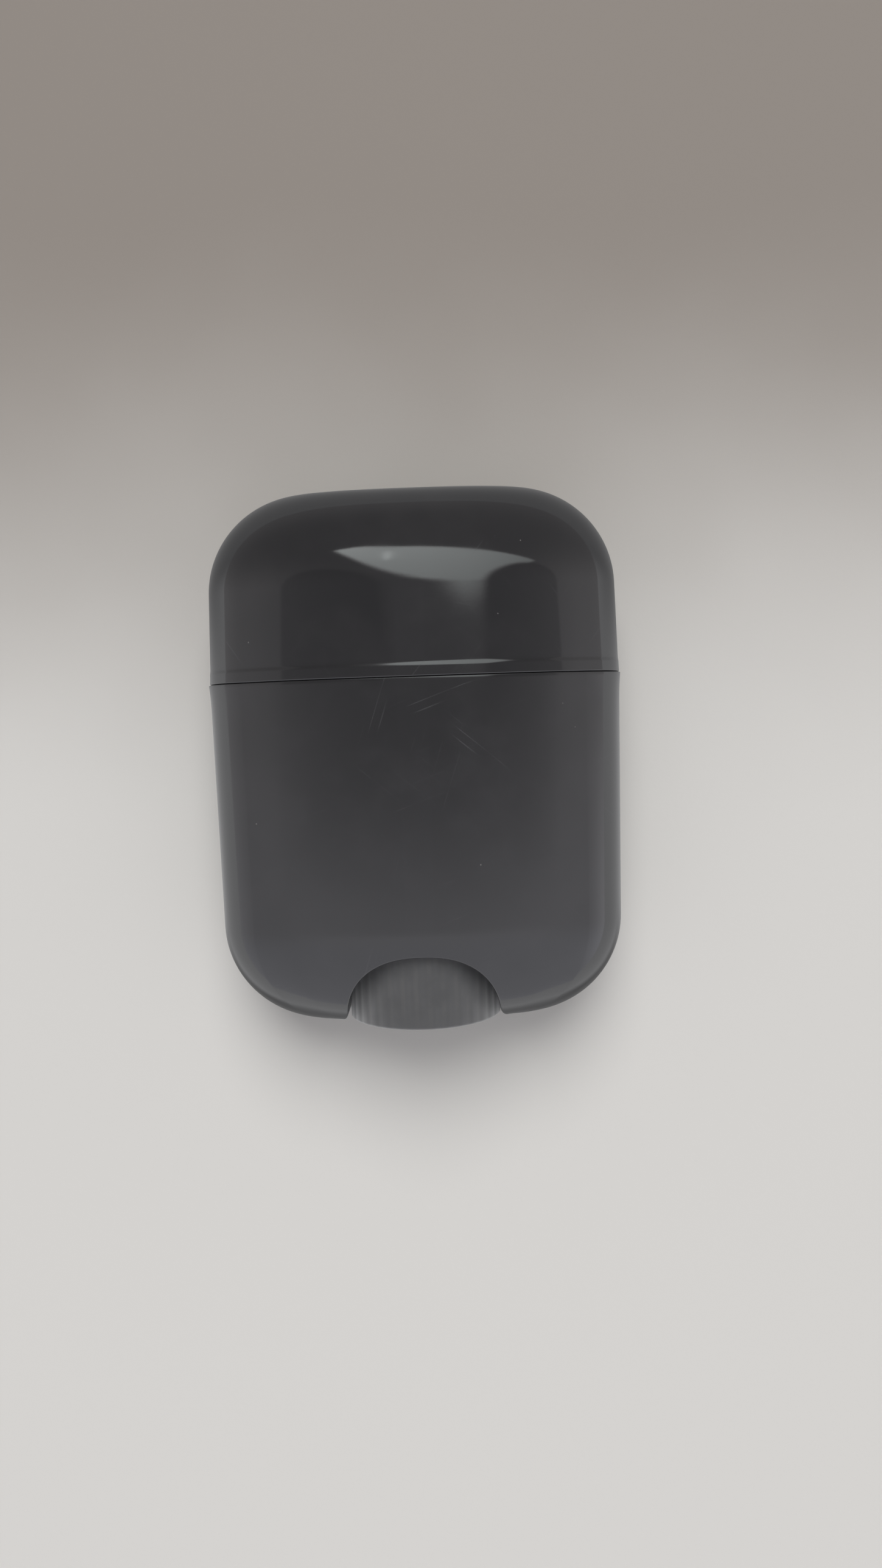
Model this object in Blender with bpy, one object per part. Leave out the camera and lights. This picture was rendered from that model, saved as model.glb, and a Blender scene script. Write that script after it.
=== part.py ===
# Twist-up sunscreen stick: an oval case with a thumb dial in its foot and a pull-off cap.
# It is drawn lying on its back. Its length runs along Y with the cap toward +Y,
# its width along X and its depth along Z. All lengths are in metres.
# A station is a distance along the stick, from the foot of the case toward the crown of the cap.

import math

import bmesh
import bpy

# Outside of the case and the cap
CASE_WIDTH = 0.0557  # at the parting line, before the rim's swell
CASE_DEPTH = 0.0252
CASE_LENGTH = 0.0458  # foot to parting line
CASE_FOOT_WIDTH = 0.0540  # what the draft of the sides would leave at the foot
CAP_LENGTH = 0.0250
CAP_CROWN_WIDTH = 0.0545  # what the draft of the sides would leave at the crown
CAP_LIP_LENGTH = 0.0019  # soft lip along the cap's edge at the parting line
CAP_LIP_PROUD = 0.00013  # how far the lip stands out from the rest of the cap
CORNER_RADIUS = 0.0130  # corners of the foot and the crown in the front view
END_DRAW = 0.0085  # how far the foot and the crown draw in from the front and the back
PARTING_GAP = 0.0003
RIM_ROUND = 0.00035  # rounded edges on both sides of the parting line
RIM_FLARE = 0.00015  # the case's sides swell by this much toward the parting line
RIM_FLARE_LENGTH = 0.0036
SECTION_POWER = 2.5  # superellipse power of every oval section

# Walls of the mouldings
CASE_WALL = 0.0014
CAP_WALL = 0.0014
LINER_WALL = 0.0011
BARREL_WALL = 0.0012

# Gaps between pieces
FIT_GAP = 0.0003  # between pieces that are fixed to each other
RUNNING_GAP = 0.0003  # between pieces that move on each other

# Neck of the barrel and the snap of the cap
NECK_RISE = 0.0060  # mouth above the parting line
NECK_GAP = 0.0005  # liner to neck
SNAP_BEAD = 0.0002
SNAP_BEAD_LENGTH = 0.0012
NECK_BEAD_DROP = 0.0026  # from the mouth down to the middle of its bead
LINER_BEAD_RISE = 0.0013  # from the liner's rim up to the middle of its bead
LINER_RIM_RISE = 0.0005  # the liner's rim stays this far inside the cap's rim
MOUTH_ROUND = 0.0004
FLANGE_THICKNESS = 0.0014  # flanges that hold the barrel in the case
FLANGE_DROP = 0.0004  # upper flange below the parting line
FLANGE_REACH = 0.0008  # least that the lower flange stands out from the barrel's tube

# Thumb dial and the arch that bares it on the front and the back
DIAL_DIAMETER = 0.0208
DIAL_PROUD = 0.0002  # the dial stands this far below the foot
DIAL_FLOOR = 0.0016
DIAL_RIM_WALL = 0.0016
DIAL_CHAMFER = 0.0004
DIAL_RIB_DEPTH = 0.00012
DIAL_RIBS = 36
DIAL_HUB_DIAMETER = 0.0112
DIAL_WEB_THICKNESS = 0.0010
DIAL_WEB_DROP = 0.0030  # webs below the dial's top
DIAL_WEBS = 6
ARCH_HEIGHT = 0.0097
ARCH_SIDE = 0.00075  # from the dial's side to the arch's foot
ARCH_COVER = 0.0015  # the dial runs on above the arch by about this much
ARCH_POWER = 2.15

# Lead screw, left-hand, so turning the dial clockwise, seen from the foot, raises the balm
THREAD_LEAD = 0.0040
THREAD_CREST_DIAMETER = 0.0068
THREAD_ROOT_DIAMETER = 0.0048
THREAD_CREST_SHARE = 0.20  # of the lead
THREAD_FLANK_SHARE = 0.15  # of the lead
SHANK_DIAMETER = 0.0060
SHANK_END_RISE = 0.0024  # its lower end above the foot
COLLAR_DIAMETER = 0.0104
COLLAR_THICKNESS = 0.0010
SCREW_TIP_CHAMFER = 0.0006
SEAL_THICKNESS = 0.0014
SEAL_GAP = 0.00015
HEX_FLATS = 0.0050  # across the flats, where the shank drives the dial

# Balm and the carrier that lifts it
BALM_CHARGE = 0.0245  # new balm, from its carrier to the mouth
BALM_USED = 0.0120  # worn away since
BALM_CROWN = 0.0040  # its top above the mouth
BALM_CORNER_RADIUS = 0.0080
BALM_END_DRAW = 0.0040
TOP_REST = 0.0010  # the carrier stops this far below the mouth
PLATFORM_THICKNESS = 0.0014
CUP_RIM_HEIGHT = 0.0030
CUP_RIM_WALL = 0.0009
SKIRT_HEIGHT = 0.0040
HUB_DIAMETER = 0.0112
HUB_THREAD_LENGTH = 0.0055
HUB_RIB_THICKNESS = 0.0010
LAST_HOLD = 0.0025  # thread still held when the carrier is at the top
BALM_BORE_CLEARANCE = 0.0003

# How finely round shapes are divided
OVAL_POINTS = 58
END_RINGS = 8
LIP_RINGS = 3
INNER_END_RINGS = 5
ROUND_POINTS = 24
THREAD_POINTS = 16
CUT_OVERRUN = 0.0020

# Stations that follow from the sizes above
CAP_RIM = CASE_LENGTH + PARTING_GAP
CROWN = CAP_RIM + CAP_LENGTH
MOUTH = CASE_LENGTH + NECK_RISE
WELL_TOP = ARCH_HEIGHT + ARCH_COVER
DIAL_TOP = WELL_TOP - RUNNING_GAP
SEAL_FLOOR = DIAL_TOP - SEAL_THICKNESS - 2 * SEAL_GAP
WELL_COVER_TOP = WELL_TOP + CASE_WALL
BARREL_FOOT = WELL_COVER_TOP + FIT_GAP
BARREL_FLOOR = BARREL_FOOT + BARREL_WALL
COLLAR_FOOT = BARREL_FLOOR + RUNNING_GAP
COLLAR_TOP = COLLAR_FOOT + COLLAR_THICKNESS
PLATFORM_LOWEST = MOUTH - BALM_CHARGE
HUB_LENGTH = PLATFORM_LOWEST - COLLAR_TOP - RUNNING_GAP
CARRIER_TRAVEL = BALM_CHARGE - TOP_REST
PLATFORM = PLATFORM_LOWEST + BALM_USED
SCREW_TIP = PLATFORM_LOWEST + CARRIER_TRAVEL - HUB_LENGTH + LAST_HOLD

# The facet in the middle of the back lies this share of the half depth from the axis
FLAT_SHARE = math.cos(math.pi / OVAL_POINTS) ** (2 / SECTION_POWER)
AXIS_HEIGHT = CASE_DEPTH / 2 * FLAT_SHARE
FOOT_Y = -(CROWN - DIAL_PROUD) / 2


def clear_scene():
    for old in list(bpy.data.objects):
        bpy.data.objects.remove(old, do_unlink=True)


def make_material(name, colour, roughness):
    material = bpy.data.materials.new(name)
    material.use_nodes = True
    principled = material.node_tree.nodes["Principled BSDF"]
    principled.inputs["Base Color"].default_value = (*colour, 1.0)
    principled.inputs["Roughness"].default_value = roughness
    principled.inputs["Metallic"].default_value = 0.0
    return material


def make_frame(name):
    # an empty on the stick's axis at the foot, which carries the pieces of one body
    frame = bpy.data.objects.new(name, None)
    frame.location = (0.0, FOOT_Y, AXIS_HEIGHT)
    bpy.context.scene.collection.objects.link(frame)
    return frame


def make_object(name, mesh, frame, material=None):
    made = bpy.data.objects.new(name, mesh)
    made.parent = frame
    bpy.context.scene.collection.objects.link(made)
    if material:
        mesh.materials.append(material)
        mesh.shade_smooth()
        mesh.set_sharp_from_angle(angle=math.radians(32))
    return made


def make_tool(name, mesh, frame):
    # a shape that only cuts, joins or trims others
    tool = make_object(name, mesh, frame)
    tool.hide_render = True
    tool.display_type = "WIRE"
    return tool


def combine(target, tool, operation):
    modifier = target.modifiers.new(tool.name, "BOOLEAN")
    modifier.object = tool
    modifier.operation = operation
    modifier.solver = "EXACT"


def finish_mesh(shape, name):
    bmesh.ops.recalc_face_normals(shape, faces=shape.faces)
    mesh = bpy.data.meshes.new(name)
    shape.to_mesh(mesh)
    shape.free()
    return mesh


def skin_rings(name, rings):
    # a closed body through rings of equal count, with its first and last ring filled
    shape = bmesh.new()
    loops = [[shape.verts.new(point) for point in ring] for ring in rings]
    for low, high in zip(loops, loops[1:]):
        for index in range(len(low)):
            after = (index + 1) % len(low)
            shape.faces.new((low[index], low[after], high[after], high[index]))
    shape.faces.new(loops[0])
    shape.faces.new(loops[-1])
    return finish_mesh(shape, name)


def bent(value, power):
    return math.copysign(abs(value) ** (2 / power), value)


def oval_ring(station, half_width, half_depth):
    # one superellipse section across the stick, with a flat facet in the middle of front and back
    ring = []
    for index in range(OVAL_POINTS):
        angle = 2 * math.pi * index / OVAL_POINTS
        across = half_width * bent(math.cos(angle), SECTION_POWER)
        up = half_depth * bent(math.sin(angle), SECTION_POWER)
        ring.append((across, station, up))
    return ring


def oval_rings(sections):
    return [oval_ring(*section) for section in sections]


def round_ring(station, radius, points=ROUND_POINTS, radius_at=None):
    # a section about the stick's axis, round unless radius_at gives the radius at each angle
    ring = []
    for index in range(points):
        angle = 2 * math.pi * index / points
        reach = radius_at(index, angle) if radius_at else radius
        ring.append((reach * math.sin(angle), station, reach * math.cos(angle)))
    return ring


def turned(name, profile, points=ROUND_POINTS):
    # a turned body from pairs of station and radius
    return skin_rings(name, [round_ring(station, radius, points) for station, radius in profile])


def end_draw(distance, length, draw):
    # how far a round end has drawn in at a distance from its tip, as a quarter ellipse
    share = min(max(1 - distance / length, 0.0), 1.0)
    return draw * (1 - math.sqrt(1 - share * share))


def end_distances(length, rings):
    # distances from the tip of a round end, in equal angles
    return [length * (1 - math.cos(math.pi / 2 * step / rings)) for step in range(rings + 1)]


def case_section(station, inset=0.0):
    # the case's outside, or the surface that lies inset inside it
    draft = (CASE_WIDTH - CASE_FOOT_WIDTH) / 2 * (1 - station / CASE_LENGTH)
    length = CORNER_RADIUS - inset
    distance = station - inset
    half_width = CASE_WIDTH / 2 - draft - inset - end_draw(distance, length, length)
    half_depth = CASE_DEPTH / 2 - inset - end_draw(distance, length, END_DRAW - inset)
    return station, half_width, half_depth


def cap_section(station, inset=0.0):
    # the cap's outside, or the surface that lies inset inside it
    draft = (CASE_WIDTH - CAP_CROWN_WIDTH) / 2 * (station - CAP_RIM) / CAP_LENGTH
    length = CORNER_RADIUS - inset
    distance = CROWN - inset - station
    half_width = CASE_WIDTH / 2 - draft - inset - end_draw(distance, length, length)
    half_depth = CASE_DEPTH / 2 - inset - end_draw(distance, length, END_DRAW - inset)
    return station, half_width, half_depth


def cap_outside(station):
    # the cap's outer surface, which swells into the lip toward the parting line
    share = min((station - CAP_RIM) / CAP_LIP_LENGTH, 1.0)
    return grown(cap_section(station), -CAP_LIP_PROUD * share * share)


def grown(section, amount):
    station, half_width, half_depth = section
    return station, half_width + amount, half_depth + amount


def moved(section, station):
    return station, section[1], section[2]


def rounded_rim(section, end, radius):
    # three sections that round the edge between a wall and its end at the station end
    away = math.copysign(radius, end - section[0])
    bend = 1 - math.sqrt(0.5)
    return [
        moved(section, end - away),
        moved(grown(section, -radius * bend), end - away * bend),
        moved(grown(section, -radius), end),
    ]


def bead_sections(section, middle, height):
    # three sections of a snap bead on a wall
    half = SNAP_BEAD_LENGTH / 2
    return [
        moved(section, middle - half),
        moved(grown(section, height), middle),
        moved(section, middle + half),
    ]


def liner_inset():
    return CAP_WALL + FIT_GAP + LINER_WALL


def neck_section(station):
    # the barrel's neck, which the cap's liner slides over
    return moved(grown(cap_section(MOUTH, liner_inset()), -NECK_GAP), station)


def barrel_foot_section():
    return case_section(BARREL_FOOT, CASE_WALL + FIT_GAP)


def tube_section(station):
    # the barrel between its flanges, as wide and deep as both the neck and the case's foot allow
    station, neck_width, neck_depth = neck_section(station)
    foot_width, foot_depth = grown(barrel_foot_section(), -FLANGE_REACH)[1:]
    return station, min(neck_width, foot_width), min(neck_depth, foot_depth)


def bore_section(station, gap=0.0):
    # the oval bore of the barrel, or what runs in it with a gap
    return grown(tube_section(station), -BARREL_WALL - gap)


def well_radius():
    return DIAL_DIAMETER / 2 + RUNNING_GAP


def arch_prism(name, wall):
    # the arch in the front view, taken straight through the case's depth
    half_width = DIAL_DIAMETER / 2 + ARCH_SIDE + wall
    height = ARCH_HEIGHT + wall
    half_points = OVAL_POINTS // 2
    outline = []
    for index in range(half_points + 1):
        angle = math.pi * index / half_points
        across = half_width * bent(math.cos(angle), ARCH_POWER)
        outline.append((across, height * bent(math.sin(angle), ARCH_POWER)))
    outline.append((-half_width, -CUT_OVERRUN))
    outline.append((half_width, -CUT_OVERRUN))
    reach = CASE_DEPTH / 2 + CUT_OVERRUN
    rings = [[(across, station, up) for across, station in outline] for up in (-reach, reach)]
    return skin_rings(name, rings)


def make_case_shell(frame, material):
    # one shell, open at the parting line, with a well and an arch for the dial in its foot
    outside = [case_section(distance) for distance in end_distances(CORNER_RADIUS, END_RINGS)]
    outside.append(case_section(CASE_LENGTH - RIM_FLARE_LENGTH))
    station, half_width, half_depth = case_section(CASE_LENGTH - RIM_ROUND)
    rim = rounded_rim((station, half_width + RIM_FLARE, half_depth), CASE_LENGTH, RIM_ROUND)
    inner_length = CORNER_RADIUS - CASE_WALL
    depths = [CASE_WALL + distance for distance in end_distances(inner_length, INNER_END_RINGS)]
    inside = [case_section(CASE_LENGTH, CASE_WALL)]
    inside += [case_section(station, CASE_WALL) for station in reversed(depths)]
    shell = make_object(
        "case_shell", skin_rings("case_shell", oval_rings(outside + rim + inside)), frame, material
    )

    # the block round the well keeps inside the middle of the shell's wall
    block = make_tool("well_block", arch_prism("well_block", CASE_WALL), frame)
    wall_radius = well_radius() + CASE_WALL
    barrel = make_tool(
        "well_wall",
        turned("well_wall", [(-CUT_OVERRUN, wall_radius), (WELL_COVER_TOP, wall_radius)], OVAL_POINTS),
        frame,
    )
    middle = CASE_WALL / 2
    middle_length = CORNER_RADIUS - middle
    sections = [
        case_section(middle + distance, middle)
        for distance in end_distances(middle_length, INNER_END_RINGS)
    ]
    sections.append(case_section(WELL_COVER_TOP + CORNER_RADIUS, middle))
    bound = make_tool("well_bound", skin_rings("well_bound", oval_rings(sections)), frame)
    combine(block, barrel, "UNION")
    combine(block, bound, "INTERSECT")
    combine(shell, block, "UNION")

    radius = well_radius()
    well = make_tool(
        "well_cut",
        turned("well_cut", [(-CUT_OVERRUN, radius), (WELL_TOP, radius)], OVAL_POINTS),
        frame,
    )
    combine(shell, well, "DIFFERENCE")
    combine(shell, make_tool("arch_cut", arch_prism("arch_cut", 0.0), frame), "DIFFERENCE")
    combine(shell, make_shank_cut("case_shank_cut", WELL_COVER_TOP, frame), "DIFFERENCE")
    return shell


def make_shank_cut(name, top, frame):
    # the running hole for the screw's shank
    radius = SHANK_DIAMETER / 2 + RUNNING_GAP
    profile = [(DIAL_TOP - CUT_OVERRUN, radius), (top + CUT_OVERRUN, radius)]
    return make_tool(name, turned(name, profile), frame)


def make_barrel(frame, material):
    # the inner sleeve: floor, oval bore, two flanges and the neck with its snap bead
    foot = barrel_foot_section()
    flange_top = CASE_LENGTH - FLANGE_DROP
    flange = case_section(flange_top - FLANGE_THICKNESS, CASE_WALL + FIT_GAP)
    sections = [
        foot,
        moved(foot, BARREL_FOOT + FLANGE_THICKNESS),
        tube_section(BARREL_FOOT + FLANGE_THICKNESS),
        tube_section(flange_top - FLANGE_THICKNESS),
        flange,
        moved(flange, flange_top),
        neck_section(flange_top),
    ]
    sections += bead_sections(neck_section(MOUTH), MOUTH - NECK_BEAD_DROP, SNAP_BEAD)
    sections += rounded_rim(neck_section(MOUTH - MOUTH_ROUND), MOUTH, MOUTH_ROUND)
    sections += [bore_section(MOUTH), bore_section(BARREL_FLOOR)]
    barrel = make_object("barrel", skin_rings("barrel", oval_rings(sections)), frame, material)
    combine(barrel, make_shank_cut("barrel_shank_cut", BARREL_FLOOR, frame), "DIFFERENCE")
    return barrel


def make_cap_shell(frame, material):
    inner_depths = end_distances(CORNER_RADIUS - CAP_WALL, INNER_END_RINGS)
    inside = [cap_section(CROWN - CAP_WALL - distance, CAP_WALL) for distance in inner_depths]
    inside.append(cap_section(CAP_RIM, CAP_WALL))
    rim = rounded_rim(cap_outside(CAP_RIM + RIM_ROUND), CAP_RIM, RIM_ROUND)
    step = (CAP_LIP_LENGTH - RIM_ROUND) / LIP_RINGS
    lip = [cap_outside(CAP_RIM + RIM_ROUND + step * (index + 1)) for index in range(LIP_RINGS)]
    depths = end_distances(CORNER_RADIUS, END_RINGS)
    outside = [cap_outside(CROWN - distance) for distance in reversed(depths)]
    sections = inside + rim[::-1] + lip + outside
    return make_object("cap_shell", skin_rings("cap_shell", oval_rings(sections)), frame, material)


def make_cap_liner(frame, material):
    # the inner cap, whose bead snaps under the bead of the neck
    rim = CAP_RIM + LINER_RIM_RISE
    inset = liner_inset()
    inner_depths = end_distances(CORNER_RADIUS - inset, INNER_END_RINGS)
    inside = [cap_section(CROWN - inset - distance, inset) for distance in inner_depths]
    bead_middle = rim + LINER_BEAD_RISE
    bead = bead_sections(cap_section(bead_middle, inset), bead_middle, -SNAP_BEAD)
    inside += bead[::-1]
    inside.append(cap_section(rim, inset))
    outer_inset = CAP_WALL + FIT_GAP
    outer_depths = end_distances(CORNER_RADIUS - outer_inset, INNER_END_RINGS)
    outside = [cap_section(rim, outer_inset)]
    outside += [
        cap_section(CROWN - outer_inset - distance, outer_inset) for distance in reversed(outer_depths)
    ]
    return make_object(
        "cap_liner", skin_rings("cap_liner", oval_rings(inside + outside)), frame, material
    )


def hexagon_radius(flats):
    def radius_at(index, angle):
        return flats / 2 / math.cos(angle % (math.pi / 3) - math.pi / 6)

    return radius_at


def rib_radius(radius):
    def radius_at(index, angle):
        return radius - DIAL_RIB_DEPTH * (index % 2)

    return radius_at


def make_dial(frame, material):
    # a ribbed cup with a hub whose hexagon socket takes the screw's shank
    points = 2 * DIAL_RIBS
    radius = DIAL_DIAMETER / 2
    bottom = -DIAL_PROUD
    seal_bore = SHANK_DIAMETER / 2 + SEAL_THICKNESS + 2 * SEAL_GAP
    socket = hexagon_radius(HEX_FLATS + 2 * SEAL_GAP)
    socket_floor = SHANK_END_RISE - FIT_GAP
    ribs = rib_radius(radius)
    rings = [
        round_ring(bottom, radius - DIAL_CHAMFER - DIAL_RIB_DEPTH, points),
        round_ring(bottom + DIAL_CHAMFER, radius, points, ribs),
        round_ring(DIAL_TOP, radius, points, ribs),
        round_ring(DIAL_TOP, radius - DIAL_RIM_WALL, points),
        round_ring(bottom + DIAL_FLOOR, radius - DIAL_RIM_WALL, points),
        round_ring(bottom + DIAL_FLOOR, DIAL_HUB_DIAMETER / 2, points),
        round_ring(DIAL_TOP, DIAL_HUB_DIAMETER / 2, points),
        round_ring(DIAL_TOP, seal_bore, points),
        round_ring(SEAL_FLOOR, seal_bore, points),
        round_ring(SEAL_FLOOR, 0.0, points, socket),
        round_ring(socket_floor, 0.0, points, socket),
    ]
    dial = make_object("dial_wheel", skin_rings("dial_wheel", rings), frame, material)
    webs = make_tool("dial_webs", web_mesh("dial_webs"), frame)
    combine(dial, webs, "UNION")
    return dial


def web_mesh(name):
    # radial webs between the dial's hub and its rim
    shape = bmesh.new()
    overlap = DIAL_WEB_THICKNESS / 2
    inner = DIAL_HUB_DIAMETER / 2 - overlap
    outer = DIAL_DIAMETER / 2 - DIAL_RIM_WALL + overlap
    low = DIAL_FLOOR - DIAL_PROUD - overlap
    high = DIAL_TOP - DIAL_WEB_DROP
    half = DIAL_WEB_THICKNESS / 2
    for index in range(DIAL_WEBS):
        angle = 2 * math.pi * (index + 0.5) / DIAL_WEBS
        along = (math.sin(angle), math.cos(angle))
        side = (math.cos(angle), -math.sin(angle))
        loops = []
        for station in (low, high):
            loop = []
            for reach, shift in ((inner, -half), (outer, -half), (outer, half), (inner, half)):
                across = reach * along[0] + shift * side[0]
                up = reach * along[1] + shift * side[1]
                loop.append(shape.verts.new((across, station, up)))
            loops.append(loop)
        for corner in range(4):
            after = (corner + 1) % 4
            shape.faces.new((loops[0][corner], loops[0][after], loops[1][after], loops[1][corner]))
        shape.faces.new(loops[0])
        shape.faces.new(loops[1])
    return finish_mesh(shape, name)


def make_seal(frame, material):
    # a round ring between the shank and the dial's hub, pressed against the case's well
    minor = SEAL_THICKNESS / 2
    major = SHANK_DIAMETER / 2 + SEAL_GAP + minor
    middle = DIAL_TOP - SEAL_GAP - minor
    minor_points = 8
    shape = bmesh.new()
    loops = []
    for index in range(ROUND_POINTS):
        angle = 2 * math.pi * index / ROUND_POINTS
        loop = []
        for step in range(minor_points):
            turn = 2 * math.pi * step / minor_points
            reach = major + minor * math.cos(turn)
            station = middle + minor * math.sin(turn)
            loop.append(shape.verts.new((reach * math.sin(angle), station, reach * math.cos(angle))))
        loops.append(loop)
    for low, high in zip(loops, loops[1:] + loops[:1]):
        for step in range(minor_points):
            after = (step + 1) % minor_points
            shape.faces.new((low[step], low[after], high[after], high[step]))
    return make_object("shaft_seal", finish_mesh(shape, "shaft_seal"), frame, material)


def thread_mesh(name, gap, start, end):
    # a left-hand thread: each column follows the ridge one step lower round the axis, and the
    # last column meets the first one lead lower; a gap makes the same thread larger all round
    crest = THREAD_CREST_DIAMETER / 2 + gap
    root = THREAD_ROOT_DIAMETER / 2 + gap
    crest_half = THREAD_CREST_SHARE * THREAD_LEAD / 2 + gap
    flank = THREAD_FLANK_SHARE * THREAD_LEAD
    profile = [
        (-crest_half, crest),
        (crest_half, crest),
        (crest_half + flank, root),
        (THREAD_LEAD - crest_half - flank, root),
    ]
    first_turn = math.floor(start / THREAD_LEAD) - 1
    last_turn = math.ceil(end / THREAD_LEAD) + 2
    rows = [
        (turn * THREAD_LEAD + offset, radius)
        for turn in range(first_turn, last_turn)
        for offset, radius in profile
    ]
    shape = bmesh.new()
    columns = []
    for index in range(THREAD_POINTS):
        share = index / THREAD_POINTS
        angle = 2 * math.pi * share
        column = []
        for station, radius in rows:
            point = (radius * math.sin(angle), station - share * THREAD_LEAD, radius * math.cos(angle))
            column.append(shape.verts.new(point))
        columns.append(column)
    pitch = len(profile)
    for left, right in zip(columns, columns[1:] + [columns[0]]):
        shift = pitch if right is columns[0] else 0
        for row in range(shift, len(rows) - 1):
            low = row - shift
            shape.faces.new((left[row], right[low], right[low + 1], left[row + 1]))
    last = columns[-1]
    bottom = [column[0] for column in columns] + last[1 : pitch + 1]
    top = [column[-1] for column in columns[::-1]] + columns[0][-2 : -pitch - 2 : -1]
    for loop, station in ((bottom, rows[0][0]), (top, rows[-1][0] - THREAD_LEAD)):
        centre = shape.verts.new((0.0, station, 0.0))
        for point, after in zip(loop, loop[1:] + loop[:1]):
            shape.faces.new((centre, point, after))
    return finish_mesh(shape, name)


def make_lead_screw(frame, material):
    # thread, thrust collar, round shank and hexagon end in one piece
    screw = make_object(
        "lead_screw", thread_mesh("lead_screw", 0.0, COLLAR_FOOT, SCREW_TIP), frame, material
    )
    outer = THREAD_CREST_DIAMETER / 2 + CUT_OVERRUN
    tip = THREAD_CREST_DIAMETER / 2
    trim_profile = [
        (COLLAR_FOOT + COLLAR_THICKNESS / 2, outer),
        (SCREW_TIP - SCREW_TIP_CHAMFER - CUT_OVERRUN, outer),
        (SCREW_TIP - SCREW_TIP_CHAMFER, tip),
        (SCREW_TIP, tip - SCREW_TIP_CHAMFER),
    ]
    trim = make_tool("thread_trim", turned("thread_trim", trim_profile), frame)
    combine(screw, trim, "INTERSECT")

    hexagon = hexagon_radius(HEX_FLATS)
    hexagon_top = SEAL_FLOOR + SEAL_GAP
    shank = SHANK_DIAMETER / 2
    collar = COLLAR_DIAMETER / 2
    rings = [
        round_ring(SHANK_END_RISE, 0.0, ROUND_POINTS, hexagon),
        round_ring(hexagon_top, 0.0, ROUND_POINTS, hexagon),
        round_ring(hexagon_top, shank),
        round_ring(COLLAR_FOOT, shank),
        round_ring(COLLAR_FOOT, collar),
        round_ring(COLLAR_TOP, collar),
    ]
    shank_tool = make_tool("screw_shank", skin_rings("screw_shank", rings), frame)
    combine(screw, shank_tool, "UNION")
    return screw


def make_carrier(frame, material):
    # a cup for the balm's foot over a guide skirt, with a threaded hub that hangs below
    outer = bore_section(PLATFORM, RUNNING_GAP)
    inner = grown(outer, -CUP_RIM_WALL)
    under = PLATFORM - PLATFORM_THICKNESS
    sections = [
        moved(inner, under),
        moved(inner, under - SKIRT_HEIGHT),
        moved(outer, under - SKIRT_HEIGHT),
        moved(outer, PLATFORM + CUP_RIM_HEIGHT),
        moved(inner, PLATFORM + CUP_RIM_HEIGHT),
        inner,
    ]
    carrier = make_object("carrier_cup", skin_rings("carrier_cup", oval_rings(sections)), frame, material)
    hub_foot = PLATFORM - HUB_LENGTH
    inside_platform = PLATFORM - PLATFORM_THICKNESS / 2
    hub_profile = [(hub_foot, HUB_DIAMETER / 2), (inside_platform, HUB_DIAMETER / 2)]
    combine(carrier, make_tool("hub_solid", turned("hub_solid", hub_profile), frame), "UNION")
    ribs = make_tool("hub_ribs", rib_cross_mesh("hub_ribs", outer, under, inside_platform), frame)
    combine(carrier, ribs, "UNION")

    thread_top = hub_foot + HUB_THREAD_LENGTH
    thread_cut = thread_mesh(
        "hub_thread_cut", RUNNING_GAP, hub_foot - CUT_OVERRUN, thread_top + CUT_OVERRUN
    )
    combine(carrier, make_tool("hub_thread_cut", thread_cut, frame), "DIFFERENCE")
    clear = THREAD_CREST_DIAMETER / 2 + RUNNING_GAP
    bore_profile = [(thread_top, clear), (PLATFORM + CUT_OVERRUN, clear)]
    combine(carrier, make_tool("hub_bore_cut", turned("hub_bore_cut", bore_profile), frame), "DIFFERENCE")
    return carrier


def rib_cross_mesh(name, outer, under, top):
    # one long and one short rib under the platform, from the hub to the skirt
    half = HUB_RIB_THICKNESS / 2
    edge = CUP_RIM_WALL / 2
    low = under - SKIRT_HEIGHT + edge
    shape = bmesh.new()
    for reach_x, reach_z in ((outer[1] - edge, half), (half, outer[2] - edge)):
        loops = []
        for station in (low, top):
            corners = ((-reach_x, -reach_z), (reach_x, -reach_z), (reach_x, reach_z), (-reach_x, reach_z))
            loops.append([shape.verts.new((across, station, up)) for across, up in corners])
        for corner in range(4):
            after = (corner + 1) % 4
            shape.faces.new((loops[0][corner], loops[0][after], loops[1][after], loops[1][corner]))
        shape.faces.new(loops[0])
        shape.faces.new(loops[1])
    return finish_mesh(shape, name)


def make_balm(frame, material):
    # the balm stands in the cup, fills the bore and ends in a worn, rounded crown
    foot = PLATFORM + FIT_GAP
    step = PLATFORM + CUP_RIM_HEIGHT + FIT_GAP
    top = MOUTH + BALM_CROWN
    full = bore_section(PLATFORM, RUNNING_GAP)
    inner = grown(full, -CUP_RIM_WALL - FIT_GAP)
    sections = [moved(inner, foot), moved(inner, step), moved(full, step)]
    for distance in reversed(end_distances(BALM_CORNER_RADIUS, INNER_END_RINGS)):
        half_width = full[1] - end_draw(distance, BALM_CORNER_RADIUS, BALM_CORNER_RADIUS)
        half_depth = full[2] - end_draw(distance, BALM_CORNER_RADIUS, BALM_END_DRAW)
        sections.append((top - distance, half_width, half_depth))
    balm = make_object("balm", skin_rings("balm", oval_rings(sections)), frame, material)
    radius = THREAD_CREST_DIAMETER / 2 + BALM_BORE_CLEARANCE
    bore_top = SCREW_TIP + BALM_USED + BALM_BORE_CLEARANCE
    profile = [(foot - CUT_OVERRUN, radius), (bore_top, radius)]
    combine(balm, make_tool("balm_bore_cut", turned("balm_bore_cut", profile), frame), "DIFFERENCE")
    return balm


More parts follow.
